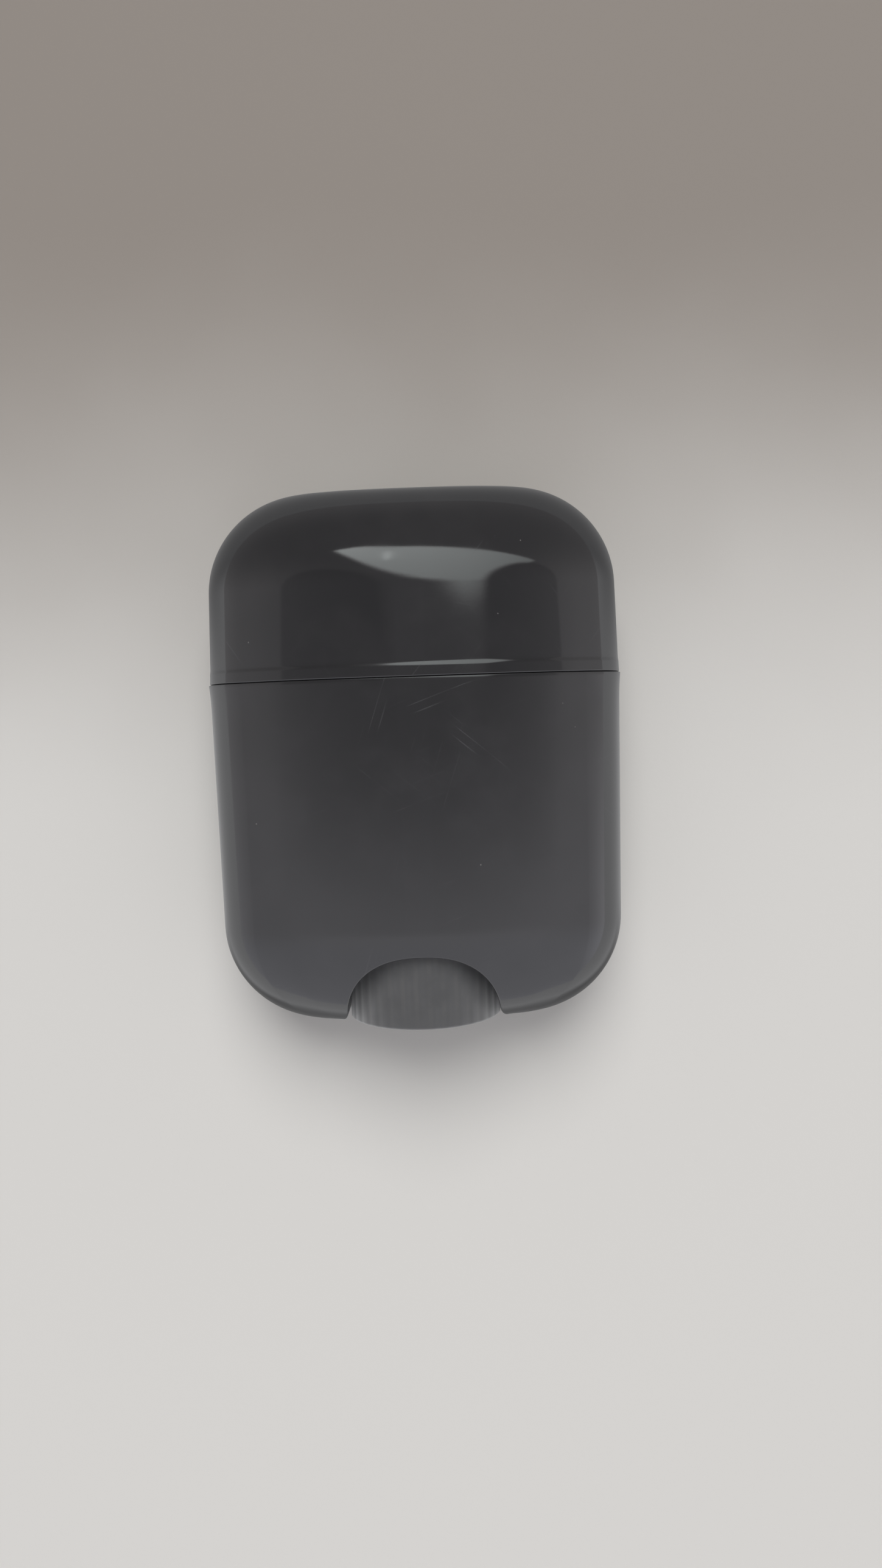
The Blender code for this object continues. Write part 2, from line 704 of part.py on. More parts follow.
def main():
    clear_scene()
    case = make_frame("case_frame")
    dial = make_frame("dial_axis")
    carrier = make_frame("carrier_slide")
    cap = make_frame("cap_slide")
    black = (0.016, 0.016, 0.018)
    make_case_shell(case, make_material("case_shell", black, 0.12))
    make_barrel(case, make_material("barrel", (0.03, 0.03, 0.032), 0.35))
    make_cap_shell(cap, make_material("cap_shell", black, 0.10))
    make_cap_liner(cap, make_material("cap_liner", (0.03, 0.03, 0.032), 0.40))
    make_dial(dial, make_material("dial_wheel", (0.048, 0.048, 0.051), 0.50))
    make_seal(dial, make_material("shaft_seal", (0.05, 0.05, 0.05), 0.70))
    make_lead_screw(dial, make_material("lead_screw", (0.70, 0.70, 0.68), 0.40))
    make_carrier(carrier, make_material("carrier_cup", (0.70, 0.70, 0.68), 0.40))
    make_balm(carrier, make_material("balm", (0.82, 0.78, 0.68), 0.45))


main()
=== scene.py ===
import math

import bmesh
import bpy
import numpy as np
from mathutils import Matrix, Vector


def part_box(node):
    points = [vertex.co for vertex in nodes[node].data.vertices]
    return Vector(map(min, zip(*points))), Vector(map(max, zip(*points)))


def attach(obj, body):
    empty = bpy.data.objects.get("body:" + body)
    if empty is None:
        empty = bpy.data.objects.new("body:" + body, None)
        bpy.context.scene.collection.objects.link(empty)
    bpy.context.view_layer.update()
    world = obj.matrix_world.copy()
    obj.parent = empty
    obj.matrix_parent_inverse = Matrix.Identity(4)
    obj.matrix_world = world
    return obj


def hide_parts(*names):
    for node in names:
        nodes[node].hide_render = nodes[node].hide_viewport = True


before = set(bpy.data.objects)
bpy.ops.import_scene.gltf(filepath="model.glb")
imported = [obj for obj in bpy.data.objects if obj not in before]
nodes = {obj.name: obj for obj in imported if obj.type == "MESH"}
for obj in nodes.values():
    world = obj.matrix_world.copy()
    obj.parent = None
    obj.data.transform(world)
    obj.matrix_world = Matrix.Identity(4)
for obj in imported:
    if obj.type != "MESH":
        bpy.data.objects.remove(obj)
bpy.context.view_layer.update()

# Twist-up sunscreen stick, lying on its back: X across, Y along toward the crown, Z out of the front.
# A station is a distance along Y from the foot. All lengths are metres.
caseLow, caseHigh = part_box("case_shell")
capLow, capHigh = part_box("cap_shell")
dialLow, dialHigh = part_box("dial_wheel")
footY = caseLow.y
close = 0.00012  # case and cap each come this much nearer at the parting line
axisHeight = caseHigh.z / 2
caseLength = caseHigh.y - footY + close
capRim = capLow.y - footY - close
crown = capHigh.y - footY
print("frame loaded, case", round(caseLength * 1000, 2), "mm long")

shell = {
    "width": 0.0557,  # at the parting line, before the rim's swell
    "footWidth": 0.0540,
    "crownWidth": 0.0545,
    "corner": 0.0130,
    "draw": 0.0085,  # how far front and back draw in at the foot and the crown
    "wall": 0.0014,
    "power": 2.5,  # of the superellipse sections
    "endRows": 30,
    "sideRows": 26,
    "columns": 240,
    "weld": 0.000002,
    "sharp": 34,  # degrees, above which an edge is drawn sharp
}


def bend(value, power):
    # superellipse bend: the sign stays, the size is raised to two over the power
    return np.sign(value) * np.abs(value) ** (2 / power)


def endDraw(distance, reach, draw):
    # how far a round end draws in: draw * (1 - root(1 - share^2)), where share falls from 1 at the tip to 0
    share = np.clip(1 - distance / reach, 0, 1)
    return draw * (1 - np.sqrt(1 - share**2))


def caseHalves(station, inset=0.0):
    # half width = half the width less draft, inset and the end's quarter ellipse; half depth without draft
    draft = (shell["width"] - shell["footWidth"]) / 2 * (1 - station / caseLength)
    reach, distance = shell["corner"] - inset, station - inset
    halfWidth = shell["width"] / 2 - draft - inset - endDraw(distance, reach, reach)
    return halfWidth, axisHeight - inset - endDraw(distance, reach, shell["draw"] - inset)


def capHalves(station, inset=0.0):
    # the same from the parting line to the crown
    draft = (shell["width"] - shell["crownWidth"]) / 2 * (station - capRim) / (crown - capRim)
    reach, distance = shell["corner"] - inset, crown - inset - station
    halfWidth = shell["width"] / 2 - draft - inset - endDraw(distance, reach, reach)
    return halfWidth, axisHeight - inset - endDraw(distance, reach, shell["draw"] - inset)


def place(across, station, up):
    # from across, station and height over the axis to the frame's own coordinates
    across, station, up = np.broadcast_arrays(across, station, up)
    return np.stack([across, station + footY, up + axisHeight], -1)


def ovalGrid(stations, halves, angles):
    # superellipse sections: across = half width * bend(cos), up = half depth * bend(sin)
    stations, wide, deep = [np.asarray(values, float) for values in (stations, *halves)]
    if stations.ndim == 1:
        stations, wide, deep = stations[:, None], wide[:, None], deep[:, None]
    power = shell["power"]
    return place(wide * bend(np.cos(angles), power), stations, deep * bend(np.sin(angles), power))


def roundGrid(stations, radii, angles):
    # circles about the stick's axis, across = radius * cos and up = radius * sin; a radius for each row,
    # or for each row and column
    stations, radii = np.asarray(stations, float)[:, None], np.asarray(radii, float)
    radii = radii[:, None] if radii.ndim == 1 else radii
    return place(radii * np.cos(angles), stations, radii * np.sin(angles))


def flipped(grid, axis):
    # mirrored across the middle of the width (0) or of the depth (2)
    middle = 0.0 if axis == 0 else axisHeight
    turned = grid.copy()
    turned[..., axis] = 2 * middle - turned[..., axis]
    return turned


def ruled(edge, rows):
    # straight lines from an edge on the front to its mirror image on the back
    share = np.linspace(1, -1, 2 * rows + 1)[:, None]
    grid = np.repeat(edge[None], len(share), 0)
    grid[..., 2] = axisHeight + (edge[None, :, 2] - axisHeight) * share
    return grid


def endStations(reach, rows):
    # distances from a round end's tip, in equal angles of its quarter ellipse
    return reach * (1 - np.cos(np.linspace(0, math.pi / 2, rows + 1)))


def sewPiece(name, grids, material, body, node, bridge=False):
    # each grid is rows x columns x 3 and gives its own quads; shared edges are welded, and a bridge
    # closes the last two open loops
    points, quads, start = [], [], 0
    for grid in grids:
        rows, columns = grid.shape[:2]
        index = start + np.arange(rows * columns).reshape(rows, columns)
        corners = [index[:-1, :-1], index[:-1, 1:], index[1:, 1:], index[1:, :-1]]
        quads.append(np.stack(corners, -1).reshape(-1, 4))
        points.append(grid.reshape(-1, 3))
        start += rows * columns
    mesh = bpy.data.meshes.new(name)
    mesh.from_pydata(np.concatenate(points).tolist(), [], np.concatenate(quads).tolist())
    form = bmesh.new()
    form.from_mesh(mesh)
    bmesh.ops.remove_doubles(form, verts=form.verts, dist=shell["weld"])
    if bridge:
        bmesh.ops.bridge_loops(form, edges=[edge for edge in form.edges if edge.is_boundary])
    bmesh.ops.recalc_face_normals(form, faces=form.faces)
    openEdges = sum(not edge.is_manifold for edge in form.edges)
    form.to_mesh(mesh)
    form.free()
    mesh.shade_smooth()
    mesh.set_sharp_from_angle(angle=math.radians(shell["sharp"]))
    mesh.materials.append(material)
    piece = bpy.data.objects.new(name, mesh)
    bpy.context.scene.collection.objects.link(piece)
    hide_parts(node)
    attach(piece, body)
    print(name, "made:", len(mesh.polygons), "faces,", openEdges, "open edges")
    return piece


class Reading:
    # one output of a node; sums and products of readings add their own Math nodes
    def __init__(self, bench, socket):
        self.bench = bench
        self.socket = socket

    def math(self, operation, *values):
        inputs = dict(enumerate((self, *values)))
        return self.bench.add("ShaderNodeMath", {"operation": operation}, inputs)

    def reflected(self, operation, value):
        return self.bench.add("ShaderNodeMath", {"operation": operation}, {0: value, 1: self})

    def __add__(self, other):
        return self.math("ADD", other)

    def __radd__(self, other):
        return self.reflected("ADD", other)

    def __sub__(self, other):
        return self.math("SUBTRACT", other)

    def __rsub__(self, other):
        return self.reflected("SUBTRACT", other)

    def __mul__(self, other):
        return self.math("MULTIPLY", other)

    def __rmul__(self, other):
        return self.reflected("MULTIPLY", other)

    def __truediv__(self, other):
        return self.math("DIVIDE", other)

    def __pow__(self, other):
        return self.math("POWER", other)


class Bench:
    # one node tree, and one method that takes a node's type, settings and inputs
    def __init__(self, owner):
        owner.use_nodes = True
        self.tree = owner.node_tree
        self.tree.nodes.clear()

    def add(self, kind, settings=None, inputs=None, output=0):
        node = self.tree.nodes.new(kind)
        for key, value in (settings or {}).items():
            setattr(node, key, value)
        for key, value in (inputs or {}).items():
            if isinstance(value, Reading):
                self.tree.links.new(value.socket, node.inputs[key])
            else:
                node.inputs[key].default_value = value
        return Reading(self, node.outputs[output]) if len(node.outputs) else node

    def stepped(self, value, low, high):
        # a soft step from 0 at low to 1 at high; it falls where low is the greater
        limits = {"Value": value, "From Min": low, "From Max": high}
        return self.add("ShaderNodeMapRange", {"interpolation_type": "SMOOTHSTEP"}, limits)

    def noise(self, where, scale, detail=2.0, roughness=0.5):
        inputs = {"Vector": where, "Scale": scale, "Detail": detail, "Roughness": roughness}
        return self.add("ShaderNodeTexNoise", {}, inputs)

    def stretched(self, where, scale, turn=0.0):
        # coordinates scaled unequally after a turn about Z, for streaks
        turned = self.add(
            "ShaderNodeMapping", {"vector_type": "TEXTURE"}, {"Vector": where, "Rotation": (0, 0, turn)}
        )
        return self.add("ShaderNodeMapping", {}, {"Vector": turned, "Scale": scale})

    def mixed(self, factor, first, second):
        # the second colour over the first; 6, 7 and 2 are the node's colour sockets
        return self.add("ShaderNodeMix", {"data_type": "RGBA"}, {0: factor, 6: first, 7: second}, 2)

    def axes(self, where):
        node = self.add("ShaderNodeSeparateXYZ", {}, {"Vector": where}).socket.node
        return [Reading(self, socket) for socket in node.outputs]


def newMaterial(name):
    material = bpy.data.materials.new(name)
    return material, Bench(material)


def surface(bench, shader, height, lift):
    # closes a material: Principled with its inputs, and a Bump that raises the height by up to the lift
    bump = bench.add("ShaderNodeBump", {}, {"Height": height, "Strength": 1.0, "Distance": lift})
    closed = bench.add("ShaderNodeBsdfPrincipled", {}, dict(shader, Normal=bump))
    bench.add("ShaderNodeOutputMaterial", {}, {"Surface": closed})


def scratchMask(bench, where, finish):
    # hairlines: noise drawn out along one direction, kept only where a second noise is high
    total = None
    for turn in finish["scratchTurns"]:
        lines = bench.noise(bench.stretched(where, finish["scratchScale"], turn), 1.0, 1.0)
        patch = bench.noise(bench.stretched(where, finish["patchScale"], turn + 1.1), 1.0, 2.0)
        mask = bench.stepped(lines, *finish["scratchLevels"]) * bench.stepped(patch, *finish["patchLevels"])
        total = mask if total is None else total.math("MAXIMUM", mask)
    return total


def dustMask(bench, where, scale, share, size):
    # specks: the soft middles of a few Voronoi cells, chosen by the cell's own random colour
    cells = {"Vector": where, "Scale": scale}
    distance = bench.add("ShaderNodeTexVoronoi", {}, cells, "Distance")
    colour = bench.add("ShaderNodeTexVoronoi", {}, cells, "Color")
    chance = bench.add("ShaderNodeSeparateColor", {}, {"Color": colour})
    return bench.stepped(distance, size, size * 0.4) * bench.stepped(chance, 1 - share, 1 - share * 0.9)


def glossBlack(name, finish):
    # polished black moulding: handling haze, hairline scratches, dust and a faint orange peel
    material, bench = newMaterial(name)
    where = bench.add("ShaderNodeTexCoord", output="Object")
    haze = bench.stepped(bench.noise(where, finish["cloud"], 3.0, 0.55), *finish["hazeLevels"])
    fine = bench.noise(where, finish["grain"], 4.0, 0.6)
    scratches = scratchMask(bench, where, finish)
    dust = dustMask(bench, where, finish["dustScale"], finish["dustShare"], finish["dustSize"])
    tone = bench.mixed(haze, finish["colour"], finish["hazeColour"])
    tone = bench.mixed(scratches * finish["scratchShow"], tone, finish["scratchColour"])
    tone = bench.mixed(dust * finish["dustShow"], tone, finish["dustColour"])
    roughness = finish["roughness"] + haze * finish["hazeRough"] + (fine - 0.5) * finish["grainRough"]
    roughness = roughness + scratches * finish["scratchRough"] + dust * finish["dustRough"]
    height = bench.noise(where, finish["peel"], 1.0, 0.4) * finish["peelHeight"]
    height = height + fine * finish["grainHeight"] - scratches * finish["scratchDepth"]
    shader = {"Base Color": tone, "Roughness": roughness, "IOR": finish["ior"]}
    surface(bench, shader, height + dust * finish["dustHeight"], finish["lift"])
    return material


satin = {
    "drawScale": (2600, 60, 2600),  # the marks are drawn out along the stick
    "grain": 5200,
    "cloud": 160,
    "cloudLevels": (0.35, 0.7),
    "drawRough": 0.16,
    "grainRough": 0.1,
    "drawHeight": 0.5,
    "grainHeight": 0.5,
    "ior": 1.49,
    "glow": 0.0,
    "glowReach": (0.001, 0.001, 0.001),
}


def satinPlastic(name, finish):
    # an inner moulding: fine draw marks along the stick, soft tone and a satin grain
    finish = dict(satin, **finish)
    material, bench = newMaterial(name)
    where = bench.add("ShaderNodeTexCoord", output="Object")
    draw = bench.noise(bench.stretched(where, finish["drawScale"]), 1.0, 2.0)
    grain = bench.noise(where, finish["grain"], 3.0, 0.6)
    cloud = bench.stepped(bench.noise(where, finish["cloud"], 2.0), *finish["cloudLevels"])
    tone = bench.mixed(cloud, finish["colour"], finish["paleColour"])
    roughness = finish["roughness"] + (draw - 0.5) * finish["drawRough"]
    roughness = roughness + (grain - 0.5) * finish["grainRough"]
    shader = {"Base Color": tone, "Roughness": roughness, "IOR": finish["ior"]}
    shader["Subsurface Weight"] = finish["glow"]
    shader["Subsurface Radius"] = finish["glowReach"]
    shader["Subsurface Scale"] = 1.0
    height = draw * finish["drawHeight"] + grain * finish["grainHeight"]
    surface(bench, shader, height, finish["lift"])
    return material


def ribbedCharcoal(name, finish):
    # the dial: matt charcoal, with dust and wear that follow the ribs round its axis, and a painted paler
    # band of light above the foot
    material, bench = newMaterial(name)
    where = bench.add("ShaderNodeTexCoord", output="Object")
    across, along, up = bench.axes(where)
    up = up - axisHeight
    turn = up.math("ARCTAN2", across)
    crest = (turn * dial["ribs"]).math("COSINE") * 0.5 + 0.5
    radius = (across * across + up * up) ** 0.5
    side = bench.stepped(radius, *(dial["radius"] * share for share in finish["sideLevels"]))
    cloud = bench.noise(where, finish["cloud"], 3.0, 0.6)
    grain = bench.noise(where, finish["grain"], 3.0, 0.6)
    groove = bench.stepped(crest, *finish["grooveLevels"]) * side
    groove = groove * bench.stepped(cloud, *finish["grooveCloud"])
    worn = bench.stepped(crest, *finish["wornLevels"]) * side * bench.stepped(cloud, *finish["wornCloud"])
    rings = (radius * finish["turning"]).math("SINE") * 0.5 + 0.5
    # painted light: the dial is made paler in a band above the foot
    low = bench.stepped(along, dialLow.y + finish["paintedLightRise"], dialLow.y)
    tone = bench.mixed(bench.stepped(cloud, *finish["hazeLevels"]), finish["colour"], finish["hazeColour"])
    tone = bench.mixed(groove * finish["grooveShow"], tone, finish["dustColour"])
    tone = bench.mixed(low * finish["paintedLightShow"], tone, finish["hazeColour"])
    roughness = finish["roughness"] + (grain - 0.5) * finish["grainRough"]
    roughness = roughness - worn * finish["wornSmooth"] + groove * finish["grooveRough"]
    height = grain * finish["grainHeight"] + (1 - side) * rings * finish["ringHeight"]
    shader = {"Base Color": tone, "Roughness": roughness, "IOR": finish["ior"]}
    shader["Sheen Weight"] = finish["sheen"]
    shader["Sheen Roughness"] = finish["sheenRough"]
    surface(bench, shader, height, finish["lift"])
    return material


def waxBalm(name, finish):
    # firm off-white balm: streaks from wiping it across the skin, a soft sheen and tiny pits
    material, bench = newMaterial(name)
    where = bench.add("ShaderNodeTexCoord", output="Object")
    streaks = bench.stretched(where, finish["streakScale"], finish["streakTurn"])
    streaks = bench.noise(streaks, 1.0, 3.0, 0.6)
    wipes = bench.noise(bench.stretched(where, finish["wipeScale"], finish["wipeTurn"]), 1.0, 2.0)
    cloud = bench.noise(where, finish["cloud"], 3.0, 0.55)
    pits = dustMask(bench, where, finish["pitScale"], finish["pitShare"], finish["pitSize"])
    tone = bench.mixed(bench.stepped(cloud, *finish["warmLevels"]), finish["colour"], finish["warmColour"])
    tone = bench.mixed(pits * finish["pitShow"], tone, finish["pitColour"])
    roughness = finish["roughness"] + (wipes - 0.5) * finish["wipeRough"]
    roughness = roughness + (streaks - 0.5) * finish["streakRough"]
    height = streaks * finish["streakHeight"] + wipes * finish["wipeHeight"] - pits * finish["pitDepth"]
    shader = {"Base Color": tone, "Roughness": roughness, "IOR": finish["ior"]}
    shader["Subsurface Weight"] = finish["glow"]
    shader["Subsurface Radius"] = finish["glowReach"]
    shader["Subsurface Scale"] = 1.0
    surface(bench, shader, height, finish["lift"])
    return material


# the case is cut to fit the dial, so the values of both stand here
case = {
    "archSide": -0.0002,  # from the dial's side to the arch's edge, which reaches a little over the dial
    "archHeight": 0.0097,
    "archPower": 2.4,
    "archFlare": 0.0008,  # soft corners where the arch meets the foot
    "wellFlare": 0.0007,  # and where the well does
    "flareRise": 0.0020,  # both end this far above the foot
    "edge": 0.00028,  # rounded edge of the arch
    "edgeRows": 5,
    "wallRows": 6,
    "wellRows": 14,
    "sideColumns": 44,
    "archColumns": 128,
    "flareColumns": 8,
    "swellRows": 10,
    "innerRows": 12,
    "turnRows": 3,
    "wellTop": 0.0112,
    "coverTop": 0.0126,  # the cover over the well, and the end of the inner wall
    "wellGap": 0.0002,
    "shankHole": 0.0033,
    "rimRound": 0.00010,
    "rimRows": 6,
    "swell": 0.000143,  # how much wider the case grows up to its rim
    "swellLength": 0.0036,
}
caseFinish = {
    "colour": (0.0064, 0.0064, 0.0074, 1),
    "hazeColour": (0.0094, 0.0092, 0.0104, 1),
    "hazeLevels": (0.42, 0.68),
    "cloud": 95,
    "roughness": 0.085,
    "hazeRough": 0.06,
    "ior": 1.6,
    "peel": 210,
    "peelHeight": 0.6,
    "grain": 2600,
    "grainRough": 0.04,
    "grainHeight": 0.12,
    "lift": 0.000004,
    "scratchTurns": (0.35, 1.25, -0.7),
    "scratchScale": (60, 4800, 60),
    "scratchLevels": (0.70, 0.76),
    "patchScale": (90, 90, 90),
    "patchLevels": (0.54, 0.68),
    "scratchColour": (0.10, 0.10, 0.105, 1),
    "scratchShow": 0.10,
    "scratchRough": 0.18,
    "scratchDepth": 0.25,
    "dustScale": 620,
    "dustShare": 0.05,
    "dustSize": 0.08,
    "dustColour": (0.22, 0.21, 0.20, 1),
    "dustShow": 0.5,
    "dustRough": 0.3,
    "dustHeight": 0.8,
}
dial = {
    "ribs": 36,
    "radius": dialHigh.x,
    "ribDepth": 0.000045,
    "flutePower": 1.6,  # above 1 the flutes are narrower than the crests
    "columnsPerRib": 10,
    "sideRows": 12,
    "middle": 0.4,  # share of the radius at which the underside has one more ring
    "chamfer": 0.0004,
    "chamferRows": 5,
    "floor": 0.0016,
    "rimWall": 0.0016,
    "hub": 0.0056,
    "pocket": 0.0047,
    "pocketFloor": 0.0092,
    "hexFlats": 0.0053,
    "socketFloor": 0.0021,
    "edge": 0.0002,
}


def flared(station, flare):
    # a softly rounded corner at the foot: flare * (1 - station / flareRise)^2, and nothing above
    return flare * np.clip(1 - station / case["flareRise"], 0, 1) ** 2


def archCurve(turn, grow):
    # the arch in the front view: across = half * bend(cos) and its flare, station = height * bend(sin)
    half = dial["radius"] + case["archSide"] + grow
    across = half * bend(np.cos(turn), case["archPower"])
    station = (case["archHeight"] + grow) * bend(np.sin(turn), case["archPower"])
    return across + np.sign(across) * flared(station, case["archFlare"]), station


def frontHeight(across, station):
    # the case's front over the axis: half depth * (1 - |across / half width|^power)^(1 / power)
    wide, deep = caseHalves(station)
    inside = np.clip(1 - np.abs(across / wide) ** shell["power"], 0, 1)
    return deep * inside ** (1 / shell["power"])


def makeCase():
    # superellipse sections outside, whose columns start at the foot or at the arch; inset sections inside;
    # the arch's rounded edge and its wall; the dial's well; and the same again mirrored to the back
    edge, well = case["edge"], dial["radius"] + case["wellGap"]
    low = np.linspace(0, case["flareRise"] / case["archHeight"], case["flareColumns"] + 1)
    low = np.arcsin(low ** (case["archPower"] / 2))
    middle = np.linspace(low[-1], math.pi - low[-1], case["archColumns"] + 1)
    turns = np.concatenate([low[:-1], middle, math.pi - low[-2::-1]])

    # columns of the outside: every arch column keeps the section angle at which it leaves the arch
    across, starts = archCurve(turns, edge)
    starts[[0, -1]] = 0
    archAngles = np.arccos(bend(across / caseHalves(starts)[0], 4 / shell["power"]))
    side = np.linspace(0, archAngles[0], case["sideColumns"] + 1)[:-1]
    angles = np.concatenate([side, archAngles, math.pi - side[::-1]])
    starts = np.concatenate([0 * side, starts, 0 * side])
    swellStart, roundStart = caseLength - case["swellLength"], caseLength - case["rimRound"]
    base = np.concatenate([
        endStations(shell["corner"], shell["endRows"]),
        np.linspace(shell["corner"], swellStart, shell["sideRows"])[1:],
        np.linspace(swellStart, roundStart, case["swellRows"])[1:],
    ])
    stations = starts + base[:, None] * (roundStart - starts) / roundStart
    wide, deep = caseHalves(stations)
    wide = wide + case["swell"] * np.clip((stations - swellStart) / (roundStart - swellStart), 0, 1) ** 2
    outside = ovalGrid(stations, (wide, deep), angles)

    # rounded rim, then the inner wall down to the cover over the dial's well
    turn = np.linspace(0, math.pi / 2, case["rimRows"] + 1)
    drop = case["rimRound"] * (1 - np.cos(turn))
    rimStations = roundStart + case["rimRound"] * np.sin(turn)
    rim = ovalGrid(rimStations, (wide[-1, 0] - drop, deep[-1, 0] - drop), angles)
    innerStations = np.concatenate([
        np.linspace(caseLength, shell["corner"], case["innerRows"]),
        np.linspace(shell["corner"], case["coverTop"], case["turnRows"])[1:],
    ])
    inner = ovalGrid(innerStations, caseHalves(innerStations, shell["wall"]), angles)
    lip = np.stack([rim[-1], inner[0]])

    # rounded edge of the arch: offset edge * (1 - sin), sunk by edge * (1 - cos)
    turn = np.linspace(0, math.pi / 2, case["edgeRows"] + 1)[:, None]
    across, station = archCurve(turns, edge * (1 - np.sin(turn)))
    station[:, [0, -1]] = 0
    rounding = place(across, station, frontHeight(across, station) - edge * (1 - np.cos(turn)))

    # the arch's wall runs straight back to the flared well: up = root(well^2 - across^2)
    across, station = across[-1], station[-1]
    top = frontHeight(across, station) - edge
    back = np.sqrt((well + flared(station, case["wellFlare"])) ** 2 - across**2)
    share = np.linspace(0, 1, case["wallRows"] + 1)[:, None]
    wall = place(across, station, top + (back - top) * share)

    # the well goes on round the sides, where it starts at the foot
    many = case["sideColumns"] - case["wallRows"] - case["edgeRows"]
    around = np.arctan2(back, across)
    side = np.linspace(0, around[0], many + 1)[:-1]
    around = np.concatenate([side, around, math.pi - side[::-1]])
    station = np.concatenate([0 * side, station, 0 * side])
    share = np.linspace(0, 1, case["wellRows"])[:, None] ** 2
    station = station + (case["wellTop"] - station) * share
    radius = well + flared(station, case["wellFlare"])
    wellWall = place(radius * np.cos(around), station, radius * np.sin(around))
    hole = roundGrid([case["wellTop"], case["coverTop"]], [case["shankHole"]] * 2, around)
    wellRoof = np.stack([wellWall[-1], hole[0]])

    # flat of the foot beside the arch: straight lines from the outside in to well, wall and rounding
    outer = outside[0, :case["sideColumns"] + 1]
    inward = np.concatenate([wellWall[0, :many + 1], wall[-2::-1, 0], rounding[-2::-1, 0]])
    foot = outer + (inward - outer) * np.linspace(0, 1, case["wallRows"] + 1)[:, None, None]
    front = [outside, rim, lip, inner, rounding, wall, wellWall, hole, wellRoof, foot, flipped(foot, 0)]
    grids = front + [flipped(grid, 2) for grid in front]
    return sewPiece("caseBody", grids, glossBlack("caseGloss", caseFinish), "case", "case_shell",
                    bridge=True)


makeCase()


dialFinish = {
    "colour": (0.049, 0.049, 0.050, 1),
    "hazeColour": (0.057, 0.057, 0.058, 1),
    "dustColour": (0.088, 0.086, 0.084, 1),
    "hazeLevels": (0.3, 0.7),
    "cloud": 260,
    "grain": 4200,
    "roughness": 0.56,
    "grainRough": 0.14,
    "ior": 1.42,
    "sheen": 0.8,
    "sheenRough": 0.5,
    "sideLevels": (0.93, 0.96),  # shares of the radius where the underside gives way to the ribs
    "grooveLevels": (0.45, 0.0),  # dust lies in the flutes
    "grooveCloud": (0.30, 0.62),
    "grooveShow": 0.35,
    "grooveRough": 0.1,
    "wornLevels": (0.72, 1.0),  # and the crests are smoother
    "wornCloud": (0.40, 0.66),
    "wornSmooth": 0.12,
    "paintedLightRise": 0.004,  # painted light: a paler band above the foot
    "paintedLightShow": 0.5,
    "turning": 9000,  # of the fine rings on the underside
    "ringHeight": 0.25,
    "grainHeight": 0.5,
    "lift": 0.00001,
}


def makeDial():
    # a turned cup whose rings swing with the angle: radius - depth * (0.5 - 0.5 * cos(ribs * angle))^power
    # outside, and in the socket a hexagon, half its flats / cos(angle from the middle of a flat)
    angles = np.linspace(0, 2 * math.pi, dial["ribs"] * dial["columnsPerRib"] + 1)
    radius, bottom, top = dial["radius"], dialLow.y - footY, dialHigh.y - footY
    flute = (0.5 - 0.5 * np.cos(dial["ribs"] * angles)) ** dial["flutePower"]
    flats = dial["hexFlats"] / 2
    hexagon = flats / np.cos(((math.pi / 2 - angles) % (math.pi / 3)) - math.pi / 6)
    rings = [(bottom, 0 * angles), (bottom, dial["middle"] * radius + 0 * angles)]
    turn = np.linspace(0, math.pi / 2, dial["chamferRows"] + 1)
    for step in turn:
        # the chamfer is a soft quarter round whose ribs deepen as it climbs
        grow = dial["chamfer"] * (1 - math.sin(step))
        ribs = dial["ribDepth"] * flute * math.sin(step)
        rings.append((bottom + dial["chamfer"] * (1 - math.cos(step)), radius - grow - ribs))
    outer = radius - dial["ribDepth"] * flute
    edge = dial["edge"]
    side = np.linspace(bottom + dial["chamfer"], top - edge, dial["sideRows"])[1:]
    rings += [(station, outer) for station in side]
    rings += [
        (top, outer - edge),
        (top, radius - dial["rimWall"] + 0 * angles),
        (bottom + dial["floor"], radius - dial["rimWall"] + 0 * angles),
        (bottom + dial["floor"], dial["hub"] + 0 * angles),
        (top, dial["hub"] + 0 * angles),
        (top, dial["pocket"] + 0 * angles),
        (dial["pocketFloor"], dial["pocket"] + 0 * angles),
        (dial["pocketFloor"], hexagon),
        (dial["socketFloor"], hexagon),
        (dial["socketFloor"], 0 * angles),
    ]
    grid = roundGrid([ring[0] for ring in rings], np.stack([ring[1] for ring in rings]), angles)
    return sewPiece("dialWheel", [grid], ribbedCharcoal("dialRibs", dialFinish), "dial", "dial_wheel")


makeDial()


cap = {
    "rimRound": 0.00014,
    "rimRows": 5,
    "lip": 0.00003,  # how much the cap swells over the length of its lip
    "lipStep": 0.00004,  # and in the soft step at the lip's top
    "lipLength": 0.0019,
    "stepLength": 0.0006,
    "lipRows": 40,
    "wall": 0.0014,
    "innerRows": 8,
    "innerEndRows": 20,
    "crownRows": (10, 6),  # across the flat lines of the crown, outside and inside
}
capFinish = dict(caseFinish, roughness=0.055, hazeRough=0.04, cloud=80, scratchTurns=(0.9, -0.25, 2.2))
capFinish.update(colour=(0.0078, 0.0078, 0.0090, 1), hazeColour=(0.0110, 0.0108, 0.0120, 1))


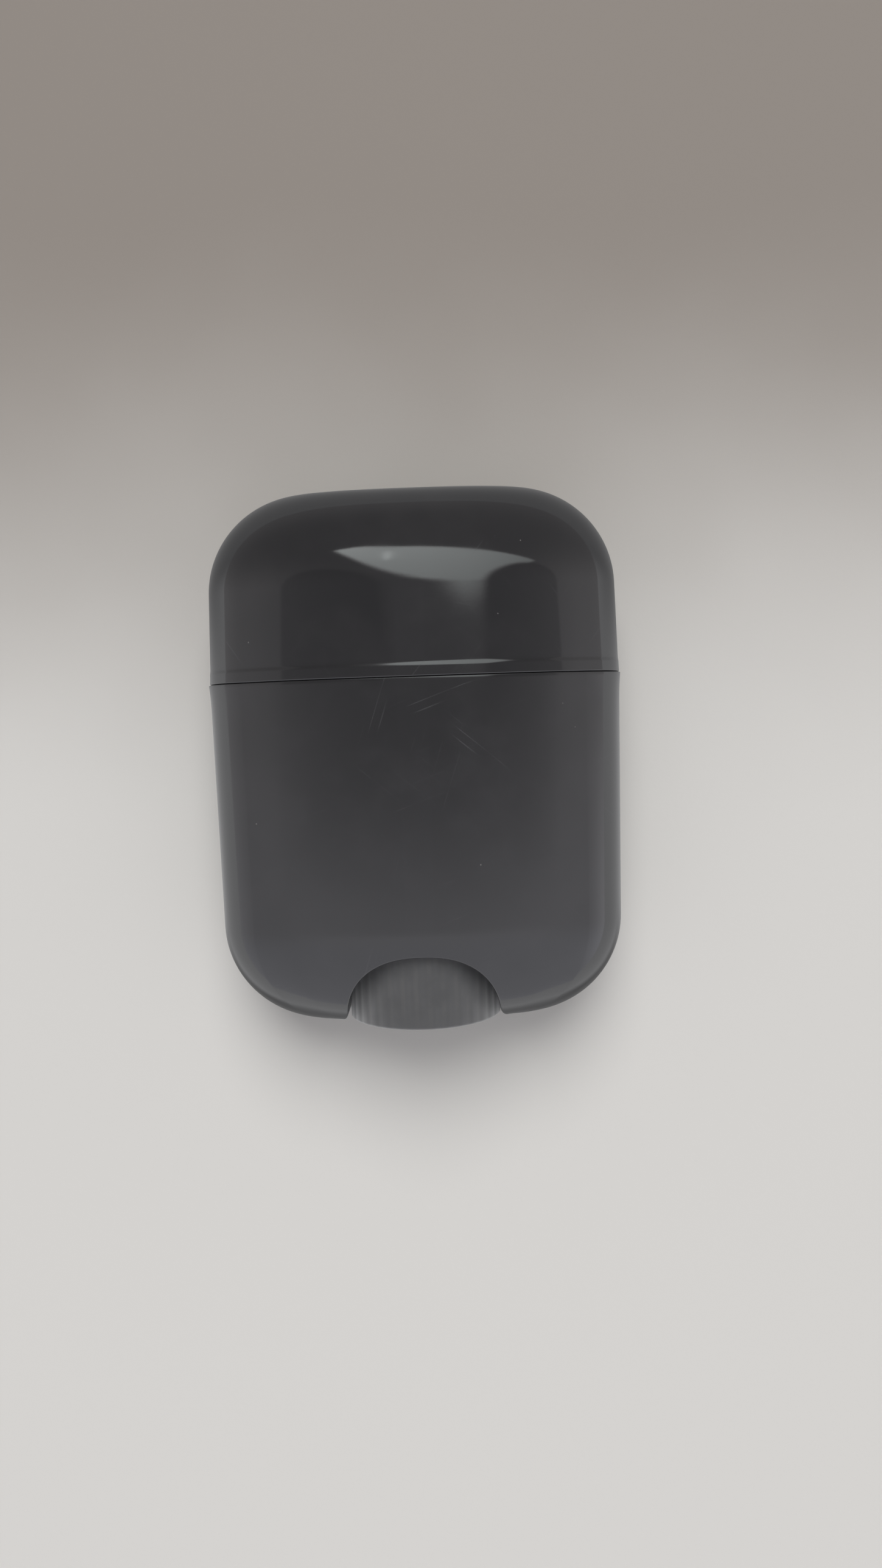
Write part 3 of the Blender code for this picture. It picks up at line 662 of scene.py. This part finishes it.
def makeCap():
    # superellipse sections from rim to crown, the same inset inside, and ruled strips over both crowns
    angles = np.linspace(0, 2 * math.pi, shell["columns"] + 1)
    lipTop, roundTop = capRim + cap["lipLength"], capRim + cap["rimRound"]
    stations = np.concatenate([
        np.linspace(roundTop, lipTop, cap["lipRows"]),
        np.linspace(lipTop, crown - shell["corner"], shell["sideRows"])[1:],
        crown - endStations(shell["corner"], shell["endRows"])[::-1][1:],
    ])
    # the lip draws in by lip * share over its length, and by lipStep * step^2 * (3 - 2 * step) at its top
    share = np.clip((stations - capRim) / cap["lipLength"], 0, 1)
    step = np.clip((stations - lipTop) / cap["stepLength"] + 1, 0, 1)
    inset = cap["lip"] * share + cap["lipStep"] * step**2 * (3 - 2 * step)
    wide, deep = [half - inset for half in capHalves(stations)]
    turn = np.linspace(0, math.pi / 2, cap["rimRows"] + 1)[::-1]
    drop = cap["rimRound"] * (1 - np.cos(turn))
    rim = ovalGrid(roundTop - cap["rimRound"] * np.sin(turn), (wide[0] - drop, deep[0] - drop), angles)
    outside = ovalGrid(stations, (wide, deep), angles)
    inset = cap["wall"]
    innerStations = np.concatenate([
        np.linspace(capRim, crown - shell["corner"], cap["innerRows"]),
        crown - inset - endStations(shell["corner"] - inset, cap["innerEndRows"])[::-1][1:],
    ])
    inner = ovalGrid(innerStations, capHalves(innerStations, inset), angles)
    half = shell["columns"] // 2 + 1
    grids = [outside, rim, np.stack([rim[0], inner[0]]), inner]
    grids += [ruled(grid[-1, :half], rows) for grid, rows in zip((outside, inner), cap["crownRows"])]
    return sewPiece("capBody", grids, glossBlack("capGloss", capFinish), "cap", "cap_shell")


makeCap()


inside = {
    "fit": 0.0003,
    "linerWall": 0.0011,
    "linerRise": 0.0005,  # the liner's rim above the cap's rim
    "linerBead": 0.0013,
    "neckGap": 0.0005,
    "neckRise": 0.0060,
    "bead": 0.0002,
    "beadHalf": 0.0006,
    "neckBeadDrop": 0.0026,
    "barrelWall": 0.0012,
    "mouthRound": 0.0004,
    "boreRound": 0.0002,
    "boreRows": 16,
    "flange": 0.0014,
    "flangeDrop": 0.0004,
    "flangeRound": 0.00015,
    "barrelFoot": 0.0129,
    "barrelFloor": 0.0141,
    "linerRows": (20, 16),  # round the liner's end, inside and outside
    "crownRows": 8,
    "beadRows": 8,
    "roundRows": 5,
    "columns": 180,
}
innerFinish = {
    "colour": (0.024, 0.024, 0.026, 1),
    "paleColour": (0.034, 0.034, 0.036, 1),
    "roughness": 0.34,
    "lift": 0.000006,
}
whiteFinish = {
    "colour": (0.72, 0.72, 0.70, 1),
    "paleColour": (0.66, 0.66, 0.635, 1),
    "roughness": 0.42,
    "lift": 0.000006,
    "glow": 0.1,
}
rubberFinish = {
    "colour": (0.045, 0.045, 0.045, 1),
    "paleColour": (0.060, 0.059, 0.058, 1),
    "roughness": 0.68,
    "lift": 0.00002,
}
mouth = caseLength + inside["neckRise"]
linerInset = cap["wall"] + inside["fit"] + inside["linerWall"]
ovalAngles = np.linspace(0, 2 * math.pi, inside["columns"] + 1)


def neckHalves(grow=0.0):
    # the neck's outside: the liner's inner section at the mouth, less the gap between them
    wide, deep = capHalves(np.array(mouth), linerInset + inside["neckGap"] - grow)
    return float(wide), float(deep)


def beadRows(middle, halves, height):
    # a snap bead: height * (1 + cos) / 2 over its length
    turn = np.linspace(-math.pi, math.pi, inside["beadRows"] + 1)
    grow = height * (1 + np.cos(turn)) / 2
    return [(middle + inside["beadHalf"] * t / math.pi, halves[0] + g, halves[1] + g)
            for t, g in zip(turn, grow)]


def roundedRows(station, halves, radius, inward):
    # a quarter round from a wall onto its end: radius * sin along, radius * (1 - cos) inward (-1: outward)
    rows = []
    for turn in np.linspace(0, math.pi / 2, inside["roundRows"] + 1):
        drop = inward * radius * (1 - math.cos(turn))
        rows.append((station - radius * (1 - math.sin(turn)), halves[0] - drop, halves[1] - drop))
    return rows


def sectionGrid(rows):
    # superellipse sections, each row a station with its half width and half depth
    rows = np.array(rows, float)
    return ovalGrid(rows[:, 0], (rows[:, 1], rows[:, 2]), ovalAngles)


def makeBarrel():
    # one profile of sections: lower flange, tube, upper flange, neck with its bead, mouth and bore
    neck, bore = neckHalves(), neckHalves(-inside["barrelWall"])
    wallInset = shell["wall"] + inside["fit"]
    foot = caseHalves(np.array(inside["barrelFoot"]), wallInset)
    flangeTop = caseLength - inside["flangeDrop"]
    flange = caseHalves(np.array(flangeTop - inside["flange"]), wallInset)
    rows = [(inside["barrelFoot"], *foot), (inside["barrelFoot"] + inside["flange"], *foot)]
    rows += [(inside["barrelFoot"] + inside["flange"], *neck), (flangeTop - inside["flange"], *neck)]
    rows += [(flangeTop - inside["flange"], *flange)]
    rows += roundedRows(flangeTop, flange, inside["flangeRound"], 1) + [(flangeTop, *neck)]
    rows += beadRows(mouth - inside["neckBeadDrop"], neck, inside["bead"])
    rows += roundedRows(mouth, neck, inside["mouthRound"], 1)
    rows += roundedRows(mouth, bore, inside["boreRound"], -1)[::-1]
    boreStations = np.linspace(mouth - inside["mouthRound"], inside["barrelFloor"], inside["boreRows"])
    wall = sectionGrid(rows + [(station, *bore) for station in boreStations])
    holeEnds = [inside["barrelFloor"], inside["barrelFoot"]]
    shankHole = roundGrid(holeEnds, [case["shankHole"]] * 2, ovalAngles)
    floor = np.stack([wall[-1], shankHole[0]])
    under = np.stack([shankHole[1], wall[0]])
    return sewPiece("barrelSleeve", [wall, floor, shankHole, under],
                    satinPlastic("barrelSatin", innerFinish), "case", "barrel")


def makeLiner():
    # the cap's sections, inset by its wall and the fit outside, and by the liner's own wall inside
    rim = capRim + inside["linerRise"]
    outer = cap["wall"] + inside["fit"]
    beadMiddle = rim + inside["linerBead"]
    wide, deep = capHalves(np.array(beadMiddle), linerInset)
    rows = [(rim, *capHalves(np.array(rim), linerInset))]
    rows += beadRows(beadMiddle, (wide, deep), -inside["bead"])
    innerRows, outerRows = inside["linerRows"]
    tops = crown - linerInset - endStations(shell["corner"] - linerInset, innerRows)[::-1]
    rows += [(station, *capHalves(station, linerInset)) for station in tops]
    inner = sectionGrid(rows)
    tops = crown - outer - endStations(shell["corner"] - outer, outerRows)[::-1]
    rows = [(station, *capHalves(station, outer)) for station in np.concatenate([[rim], tops])]
    outside = sectionGrid(rows)
    half = inside["columns"] // 2 + 1
    grids = [inner, outside, np.stack([inner[0], outside[0]])]
    grids += [ruled(grid[-1, :half], inside["crownRows"]) for grid in (inner, outside)]
    finish = dict(innerFinish, roughness=0.40)
    return sewPiece("capLiner", grids, satinPlastic("linerSatin", finish), "cap", "cap_liner")


makeBarrel()
makeLiner()

_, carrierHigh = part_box("carrier_cup")
balmLow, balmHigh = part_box("balm")
carrier = {
    "running": 0.0003,
    "rimHeight": 0.0030,
    "rimWall": 0.0009,
    "rimRound": 0.0002,
    "platform": 0.0014,
    "skirt": 0.0040,
    "hub": 0.0056,
    "hubLength": 0.0116,
    "threadLength": 0.0055,
    "threadRows": 60,
    "lead": 0.0040,
    "crest": 0.0037,
    "root": 0.0027,
    "crestHalf": 0.26,  # shares of the lead: where a crest ends, and the flank below it
    "flank": 0.14,
    "rib": 0.0010,
    "ribStart": 0.0050,
}
balm = {
    "corner": 0.0080,
    "draw": 0.0040,
    "bore": 0.0037,
    "overBore": 0.0018,  # from the bore's end to the crown
    "sideRows": 8,
    "endRows": 26,
    "crownRows": 12,
    "wear": 0.00012,  # how deep use has worn grooves into the crown
    "waves": (2100, 900),  # of the grooves, in radians for each metre from front to back
    "waveStart": 0.8,
    "waveLean": 160,
}
balmFinish = {
    "colour": (0.83, 0.79, 0.69, 1),
    "warmColour": (0.80, 0.74, 0.61, 1),
    "warmLevels": (0.3, 0.7),
    "cloud": 130,
    "roughness": 0.42,
    "ior": 1.44,
    "glow": 0.35,
    "glowReach": (0.0022, 0.0016, 0.0010),
    "streakScale": (50, 1500, 1500),
    "streakTurn": 0.12,
    "streakRough": 0.15,
    "streakHeight": 0.5,
    "wipeScale": (90, 420, 420),
    "wipeTurn": -0.08,
    "wipeRough": 0.3,
    "wipeHeight": 0.4,
    "pitScale": 1100,
    "pitShare": 0.16,
    "pitSize": 0.22,
    "pitShow": 0.35,
    "pitColour": (0.62, 0.55, 0.42, 1),
    "pitDepth": 0.6,
    "lift": 0.00005,
}
platform = carrierHigh.y - footY - carrier["rimHeight"]


def threadRadius(station, angle):
    # root * (1 - share) + crest * share, the share a soft trapezoid of the phase; a fault left here: it winds
    # the opposite way to the screw's left-hand thread and cuts it, the phase should fall as the angle grows
    phase = (station / carrier["lead"] + angle / (2 * math.pi)) % 1
    share = np.clip((carrier["crestHalf"] - np.abs(phase - 0.5)) / carrier["flank"] + 1, 0, 1)
    return carrier["root"] + (carrier["crest"] - carrier["root"]) * share


def ribPlates(outer, low, top):
    # four plates under the platform, each from inside the hub's wall to the middle of the skirt's:
    # an oblong carried along the stick and drawn to a line at both of its ends
    half, sunk = carrier["rib"] / 2, carrier["rimWall"] / 2
    side = np.array([0, 1, 1, 0])[:, None] * np.array([-half, -half, half, half, -half])
    station = np.array([low, low, top, top])[:, None]
    plates = []
    for axis, far in ((0, outer[0] - sunk), (2, outer[1] - sunk)):
        reach = np.array([carrier["ribStart"], far, far, carrier["ribStart"], carrier["ribStart"]])
        plate = place(reach, station, side) if axis == 0 else place(side, station, reach)
        plates += [plate, flipped(plate, axis)]
    return plates


def makeCarrier():
    # a cup over a skirt, as superellipse sections, and a hub whose bore is threaded at its lower end
    outer = neckHalves(-inside["barrelWall"] - carrier["running"])
    inner = (outer[0] - carrier["rimWall"], outer[1] - carrier["rimWall"])
    under, rim = platform - carrier["platform"], platform + carrier["rimHeight"]
    skirtFoot, hubFoot = under - carrier["skirt"], platform - carrier["hubLength"]
    rows = [(under, *inner), (skirtFoot, *inner)]
    rows += [(skirtFoot, *outer)] + roundedRows(rim, outer, carrier["rimRound"], 1)
    rows += roundedRows(rim, inner, carrier["rimRound"], -1)[::-1] + [(platform, *inner)]
    wall = sectionGrid(rows)
    threadTop = hubFoot + carrier["threadLength"]
    stations = np.linspace(threadTop, hubFoot, carrier["threadRows"])
    thread = threadRadius(stations[:, None], ovalAngles[None])
    thread[0] = carrier["crest"]
    bore = roundGrid([platform, threadTop], [carrier["crest"]] * 2, ovalAngles)
    nut = roundGrid(stations, thread, ovalAngles)
    hub = roundGrid([hubFoot, under], [carrier["hub"]] * 2, ovalAngles)
    grids = [wall, np.stack([wall[-1], bore[0]]), bore, nut, np.stack([nut[-1], hub[0]]), hub]
    grids.append(np.stack([hub[-1], wall[0]]))
    grids += ribPlates(outer, skirtFoot + carrier["rimWall"] / 2, under + carrier["platform"] / 2)
    return sewPiece("carrierCup", grids, satinPlastic("carrierWhite", whiteFinish), "carrier",
                    "carrier_cup")


def makeBalm():
    # a foot that stands in the cup, a step onto its rim, and a crown rounded by quarter ellipses
    full = neckHalves(-inside["barrelWall"] - carrier["running"])
    inset = carrier["rimWall"] + inside["fit"]
    inner = (full[0] - inset, full[1] - inset)
    foot, top = balmLow.y - footY, balmHigh.y - footY
    step = platform + carrier["rimHeight"] + inside["fit"]
    rows = [(foot, *inner), (step, *inner), (step, *full)]
    rows += [(station, *full) for station in np.linspace(step, top - balm["corner"], balm["sideRows"])[1:]]
    for distance in endStations(balm["corner"], balm["endRows"])[::-1][1:]:
        rows.append((top - distance, full[0] - endDraw(distance, balm["corner"], balm["corner"]),
                     full[1] - endDraw(distance, balm["corner"], balm["draw"])))
    wall = sectionGrid(rows)
    half = inside["columns"] // 2 + 1
    crownTop = ruled(wall[-1, :half], balm["crownRows"])
    # wear: wiping across the skin leaves shallow waves along X, which deepen toward the crown
    fine, broad = balm["waves"]
    for grid in (wall, crownTop):
        across, station, up = grid[..., 0], grid[..., 1] - footY, grid[..., 2] - axisHeight
        near = np.clip((station - (top - balm["corner"])) / balm["corner"], 0, 1) ** 2
        wave = 0.5 + 0.25 * np.sin(up * fine + balm["waveStart"])
        wave = wave + 0.25 * np.sin(up * broad + across * balm["waveLean"])
        grid[..., 1] -= balm["wear"] * near * wave
    boreTop = top - balm["overBore"]
    bore = roundGrid([foot, boreTop], [balm["bore"]] * 2, ovalAngles)
    cone = roundGrid([boreTop, boreTop], [balm["bore"], 0.0], ovalAngles)
    grids = [np.stack([bore[0], wall[0]]), wall, crownTop, bore, cone]
    return sewPiece("balmBar", grids, waxBalm("balmWax", balmFinish), "carrier", "balm")


makeCarrier()
makeBalm()

# the screw and its seal keep their CAD shapes and get better materials
for name, material in (
    ("lead_screw", satinPlastic("screwWhite", whiteFinish)),
    ("shaft_seal", satinPlastic("sealRubber", rubberFinish)),
):
    nodes[name].data.materials.clear()
    nodes[name].data.materials.append(material)
print("pieces dressed")


ground = {
    "half": 3.0,
    "drop": 0.00001,
    "colour": (0.590, 0.576, 0.548, 1),
    "farShadeColour": (0.240, 0.213, 0.188, 1),  # painted shade: the floor greys and darkens beyond the crown
    "paintedShadeFade": (-0.012, 0.081),
    "cloud": 14,
    "cloudShift": 0.03,
    "roughness": 0.6,
    "grain": 900,
    "lift": 0.00002,
    # painted reflection: the gloss sees a glowing flat grey in place of the lit floor, whose strength depends
    # on the place alone
    "mirrored": 0.85,  # this share of it
    "paintedReflectionColour": (0.570, 0.572, 0.580, 1),
    "mirroredCrown": 1.15,  # strength far out beyond the crown
    "mirroredFoot": 2.5,  # and beside and below the stick
    "lean": (0.50, 0.05),  # how far a place leans toward the crown, from the first strength to the second
    "leanSoft": 0.04,
    "corner": 0.0110,  # of the oblong round the stick from which the distance is taken
    "reach": 0.011,  # painted shadow round the stick: this far out it has half its strength
    "footShade": 0.72,  # and a painted shadow just beyond the foot darkens it again
    "shadowPatchNear": (-0.022, -0.037),
    "shadowPatchFar": (-0.095, -0.050),
    "shadowPatchSide": (0.050, 0.034),
}


def makeFloor():
    # a flat square; the gloss sees a painted reflection of strength = side's strength * (1 - patch * shade) *
    # away / (away + reach), where both factors paint shadow, beyond the foot and round the stick
    half, low = ground["half"], -ground["drop"]
    mesh = bpy.data.meshes.new("floor")
    corners = [(-half, -half, low), (half, -half, low), (half, half, low), (-half, half, low)]
    mesh.from_pydata(corners, [], [(0, 1, 2, 3)])
    floor = bpy.data.objects.new("floor", mesh)
    bpy.context.scene.collection.objects.link(floor)
    material, bench = newMaterial("paleFloor")
    where = bench.add("ShaderNodeTexCoord", output="Object")
    across, along, _ = bench.axes(where)
    cloud = bench.noise(where, ground["cloud"], 3.0) - 0.5
    # painted shade: the floor's colour darkens toward the far side beyond the crown
    paintedShadeFade = bench.stepped(along + cloud * ground["cloudShift"], *ground["paintedShadeFade"])
    tone = bench.mixed(paintedShadeFade, ground["colour"], ground["farShadeColour"])
    grain = bench.noise(where, ground["grain"], 2.0)
    bump = bench.add("ShaderNodeBump", {}, {"Height": grain, "Distance": ground["lift"]})
    shader = {"Base Color": tone, "Roughness": ground["roughness"], "Normal": bump}
    lit = bench.add("ShaderNodeBsdfPrincipled", {}, shader)

    corner = ground["corner"]
    offX = (across.math("ABSOLUTE") - (caseHigh.x - corner)).math("MAXIMUM", 0.0)
    offY = (along.math("ABSOLUTE") - (capHigh.y - corner)).math("MAXIMUM", 0.0)
    away = ((offX * offX + offY * offY) ** 0.5 - corner).math("MAXIMUM", 0.0)
    lean = along / (away + ground["leanSoft"])
    rise = ground["mirroredFoot"] - ground["mirroredCrown"]
    strength = bench.stepped(lean, *ground["lean"]) * rise + ground["mirroredCrown"]
    # painted shadow in the reflection, just beyond the foot
    patch = bench.stepped(along, *ground["shadowPatchNear"]) * bench.stepped(along, *ground["shadowPatchFar"])
    patch = patch * bench.stepped(across.math("ABSOLUTE"), *ground["shadowPatchSide"])
    strength = strength * (1 - patch * ground["footShade"])
    # painted shadow in the reflection, darker near the stick
    strength = strength * (away / (away + ground["reach"]))
    # painted reflection: the floor glows for glossy rays only
    paintedReflection = bench.add("ShaderNodeEmission", {}, {"Color": ground["paintedReflectionColour"], "Strength": strength})
    glossy = bench.add("ShaderNodeLightPath", output="Is Glossy Ray") * ground["mirrored"]
    both = bench.add("ShaderNodeMixShader", {}, {0: glossy, 1: lit, 2: paintedReflection})
    bench.add("ShaderNodeOutputMaterial", {}, {"Surface": both})
    mesh.materials.append(material)


sky = {
    "level": 0.78,  # of all the world's light
    "soften": 0.45,  # this share of the diffuse light comes from the lamp instead, which isn't mirrored
    "overhead": 0.60,  # a dim patch straight above
    "overheadReach": (0.6, 0.13, 0.35),  # its reach to the sides, toward the foot and toward the crown
    "behindCrown": 0.50,
    "behindFoot": 1.65,
    "behindTurn": (0.85, -0.6),  # between these directions along the stick the one goes over into the other
    "behindTilt": 0.1,  # and a little brighter to the right
    "horizon": 0.62,  # the sky meets the floor at about the floor's own brightness
    "horizonTop": 0.50,
    "horizonFoot": 0.88,  # more of it behind the foot
    "horizonFootTurn": (0.6, -0.3),
    "horizonSide": 0.6,  # and more at both sides, a little uneven
    "horizonSideTurn": (0.6, 0.95),
    "horizonSideLow": (0.08, -0.2),
    "horizonSideTilt": (0.6, 0.5),  # its middle value, and how much it grows to the right
    "window": 3.6,
    "windowEdge": 0.022,
    "windowLow": (0.1, 0.2),
    "windowAlong": (0.74, 0.42),  # its brightness overhead, and how that grows toward the crown
    "windowAcross": (1.14, 0.75),  # and falls toward the right
    # corners of the soft window above the crown, as X / Z and Y / Z of its direction
    "windowCorners": (
        (-0.33, 0.66), (-0.15, 0.725), (0.36, 0.535), (0.67, 0.44),
        (0.26, 0.115), (0.12, 0.095), (-0.02, 0.14),
    ),
    "bulb": (-0.087, 0.50, 0.013, 0.10),  # a small bright spot in the window: place, width and height
    "bulbEdge": (1.2, 0.4),
    "bulbShow": 0.9,
    "cards": ((0.60, -0.02, 0.395), (-0.42, 0.0, 0.34)),  # soft dark discs: place and radius
    "cardSoft": 0.03,
    "cardLow": (0.0, 0.06),
    "cardShade": 0.27,
    "crownTint": (1.0, 0.965, 0.965, 1),
    "footTint": (0.985, 0.985, 1.05, 1),
    "tintTurn": (0.3, -0.5),
    "windowTint": (0.96, 1.01, 1.0, 1),
    "seen": (0.80, 0.785, 0.77, 1),  # what the camera sees past the floor
}


def makeWorld():
    # light by direction: dim overhead, brighter behind the foot than behind the crown, and one window
    world = bpy.data.worlds.new("studio")
    bpy.context.scene.world = world
    bench = Bench(world)
    x, y, z = bench.axes(bench.add("ShaderNodeTexCoord", output="Generated"))
    flat = (x * x + y * y + 0.0001) ** 0.5
    ring = bench.stepped(y / flat, *sky["behindTurn"]) * (sky["behindFoot"] - sky["behindCrown"])
    ring = ring + sky["behindCrown"] + x * sky["behindTilt"]
    sx, sy = x / (z + 1.001), y / (z + 1.001)  # seen as a flat map whose middle is overhead
    reachSide, reachFoot, reachCrown = sky["overheadReach"]
    toFoot = (0 - sy).math("MAXIMUM", 0.0) / reachFoot
    toCrown = sy.math("MAXIMUM", 0.0) / reachCrown
    reach = ((sx / reachSide) ** 2 + toFoot * toFoot + toCrown * toCrown) ** 0.5
    glow = sky["overhead"] + bench.stepped(reach, 0.0, 1.0) * (ring - sky["overhead"])
    horizon = bench.stepped(y / flat, *sky["horizonFootTurn"]) * sky["horizonFoot"] + sky["horizon"]
    sides = bench.stepped(x.math("ABSOLUTE") / flat, *sky["horizonSideTurn"])
    sides = sides * bench.stepped(y / flat, *sky["horizonSideLow"])
    level, tilt = sky["horizonSideTilt"]
    horizon = horizon + sides * (level + x * tilt) * sky["horizonSide"]
    glow = glow + bench.stepped(z, sky["horizonTop"], 0.0) * (horizon - glow)

    # over the crown: two soft dark cards, and the window between and above them
    height = z.math("MAXIMUM", 0.05)
    gx, gy = x / height, y / height
    hidden = None
    for cardX, cardY, radius in sky["cards"]:
        offX, offY = gx - cardX, gy - cardY
        off = (offX * offX + offY * offY) ** 0.5
        card = bench.stepped(off, radius + sky["cardSoft"], radius - sky["cardSoft"])
        hidden = card if hidden is None else hidden.math("MAXIMUM", card)
    glow = glow * (1 - hidden * bench.stepped(gy, *sky["cardLow"]) * sky["cardShade"])
    mask = None
    corners = sky["windowCorners"]
    for (ax, ay), (bx, by) in zip(corners, corners[1:] + corners[:1]):
        # distance inside one side of the window
        length = math.hypot(bx - ax, by - ay)
        distance = (gx - ax) * ((by - ay) / length) - (gy - ay) * ((bx - ax) / length)
        side = bench.stepped(distance, -sky["windowEdge"], sky["windowEdge"])
        mask = side if mask is None else mask * side
    mask = mask * bench.stepped(z, *sky["windowLow"]) * (1 - hidden)
    (base, rise), (left, fall) = sky["windowAlong"], sky["windowAcross"]
    pane = (gy * rise + base) * (left - gx * fall) * sky["window"]
    glow = glow + mask * (pane - glow)
    bulbX, bulbY, bulbWide, bulbHigh = sky["bulb"]
    offX, offY = (gx - bulbX) / bulbWide, (gy - bulbY) / bulbHigh
    off = (offX * offX + offY * offY) ** 0.5
    glow = glow + bench.stepped(off, *sky["bulbEdge"]) * mask * sky["window"] * sky["bulbShow"]
    tint = bench.mixed(bench.stepped(y, *sky["tintTurn"]), sky["crownTint"], sky["footTint"])
    tint = bench.mixed(mask, tint, sky["windowTint"])
    diffuse = bench.add("ShaderNodeLightPath", output="Is Diffuse Ray")
    glow = glow * sky["level"] * (1 - diffuse * sky["soften"])
    ray = bench.add("ShaderNodeLightPath", output="Is Camera Ray")
    colour = bench.mixed(ray, tint, sky["seen"])
    shader = bench.add("ShaderNodeBackground", {}, {"Color": colour, "Strength": glow + ray * (1 - glow)})
    bench.add("ShaderNodeOutputWorld", {}, {"Surface": shader})


lamp = {
    "strength": 2.2,
    "angle": 36,  # degrees across
    "place": (0.01, 0.37, 0.48),
}


def makeLamp():
    # a broad soft lamp over the crown, for the floor's shadow below the dial; it doesn't show in the gloss
    sun = bpy.data.objects.new("softLamp", bpy.data.lights.new("softLamp", "SUN"))
    bpy.context.scene.collection.objects.link(sun)
    sun.data.energy = lamp["strength"]
    sun.data.angle = math.radians(lamp["angle"])
    sun.location = lamp["place"]
    sun.rotation_euler = Vector(lamp["place"]).to_track_quat("Z", "Y").to_euler()
    sun.visible_glossy = False


view = {
    "place": (0.00581, 0.00555, 0.16747),  # over the middle of the stick's axis
    "pitch": 3.27,
    "yaw": -0.92,
    "roll": 1.97,
    "focus": 2000,  # pixels, in a picture this long
    "long": 2576,
    "sensor": 36,
    "near": 0.01,
    "far": 20,
}


def makeCamera():
    # the photograph's place and turn: roll, pitch and yaw take the world to the camera
    camera = bpy.data.objects.new("view", bpy.data.cameras.new("view"))
    bpy.context.scene.collection.objects.link(camera)
    turn = Matrix.Rotation(math.radians(view["roll"]), 3, "Z")
    turn = turn @ Matrix.Rotation(math.radians(view["pitch"]), 3, "X")
    turn = turn @ Matrix.Rotation(math.radians(view["yaw"]), 3, "Y")
    place = Matrix.Translation(Vector(view["place"]) + Vector((0, 0, axisHeight)))
    camera.matrix_world = place @ turn.transposed().to_4x4()
    camera.data.sensor_width = view["sensor"]
    camera.data.lens = view["focus"] / view["long"] * view["sensor"]
    camera.data.clip_start = view["near"]
    camera.data.clip_end = view["far"]
    bpy.context.scene.camera = camera


makeFloor()
makeWorld()
makeLamp()
makeCamera()
bpy.context.scene.view_settings.view_transform = "Standard"
print("floor, light and camera set")
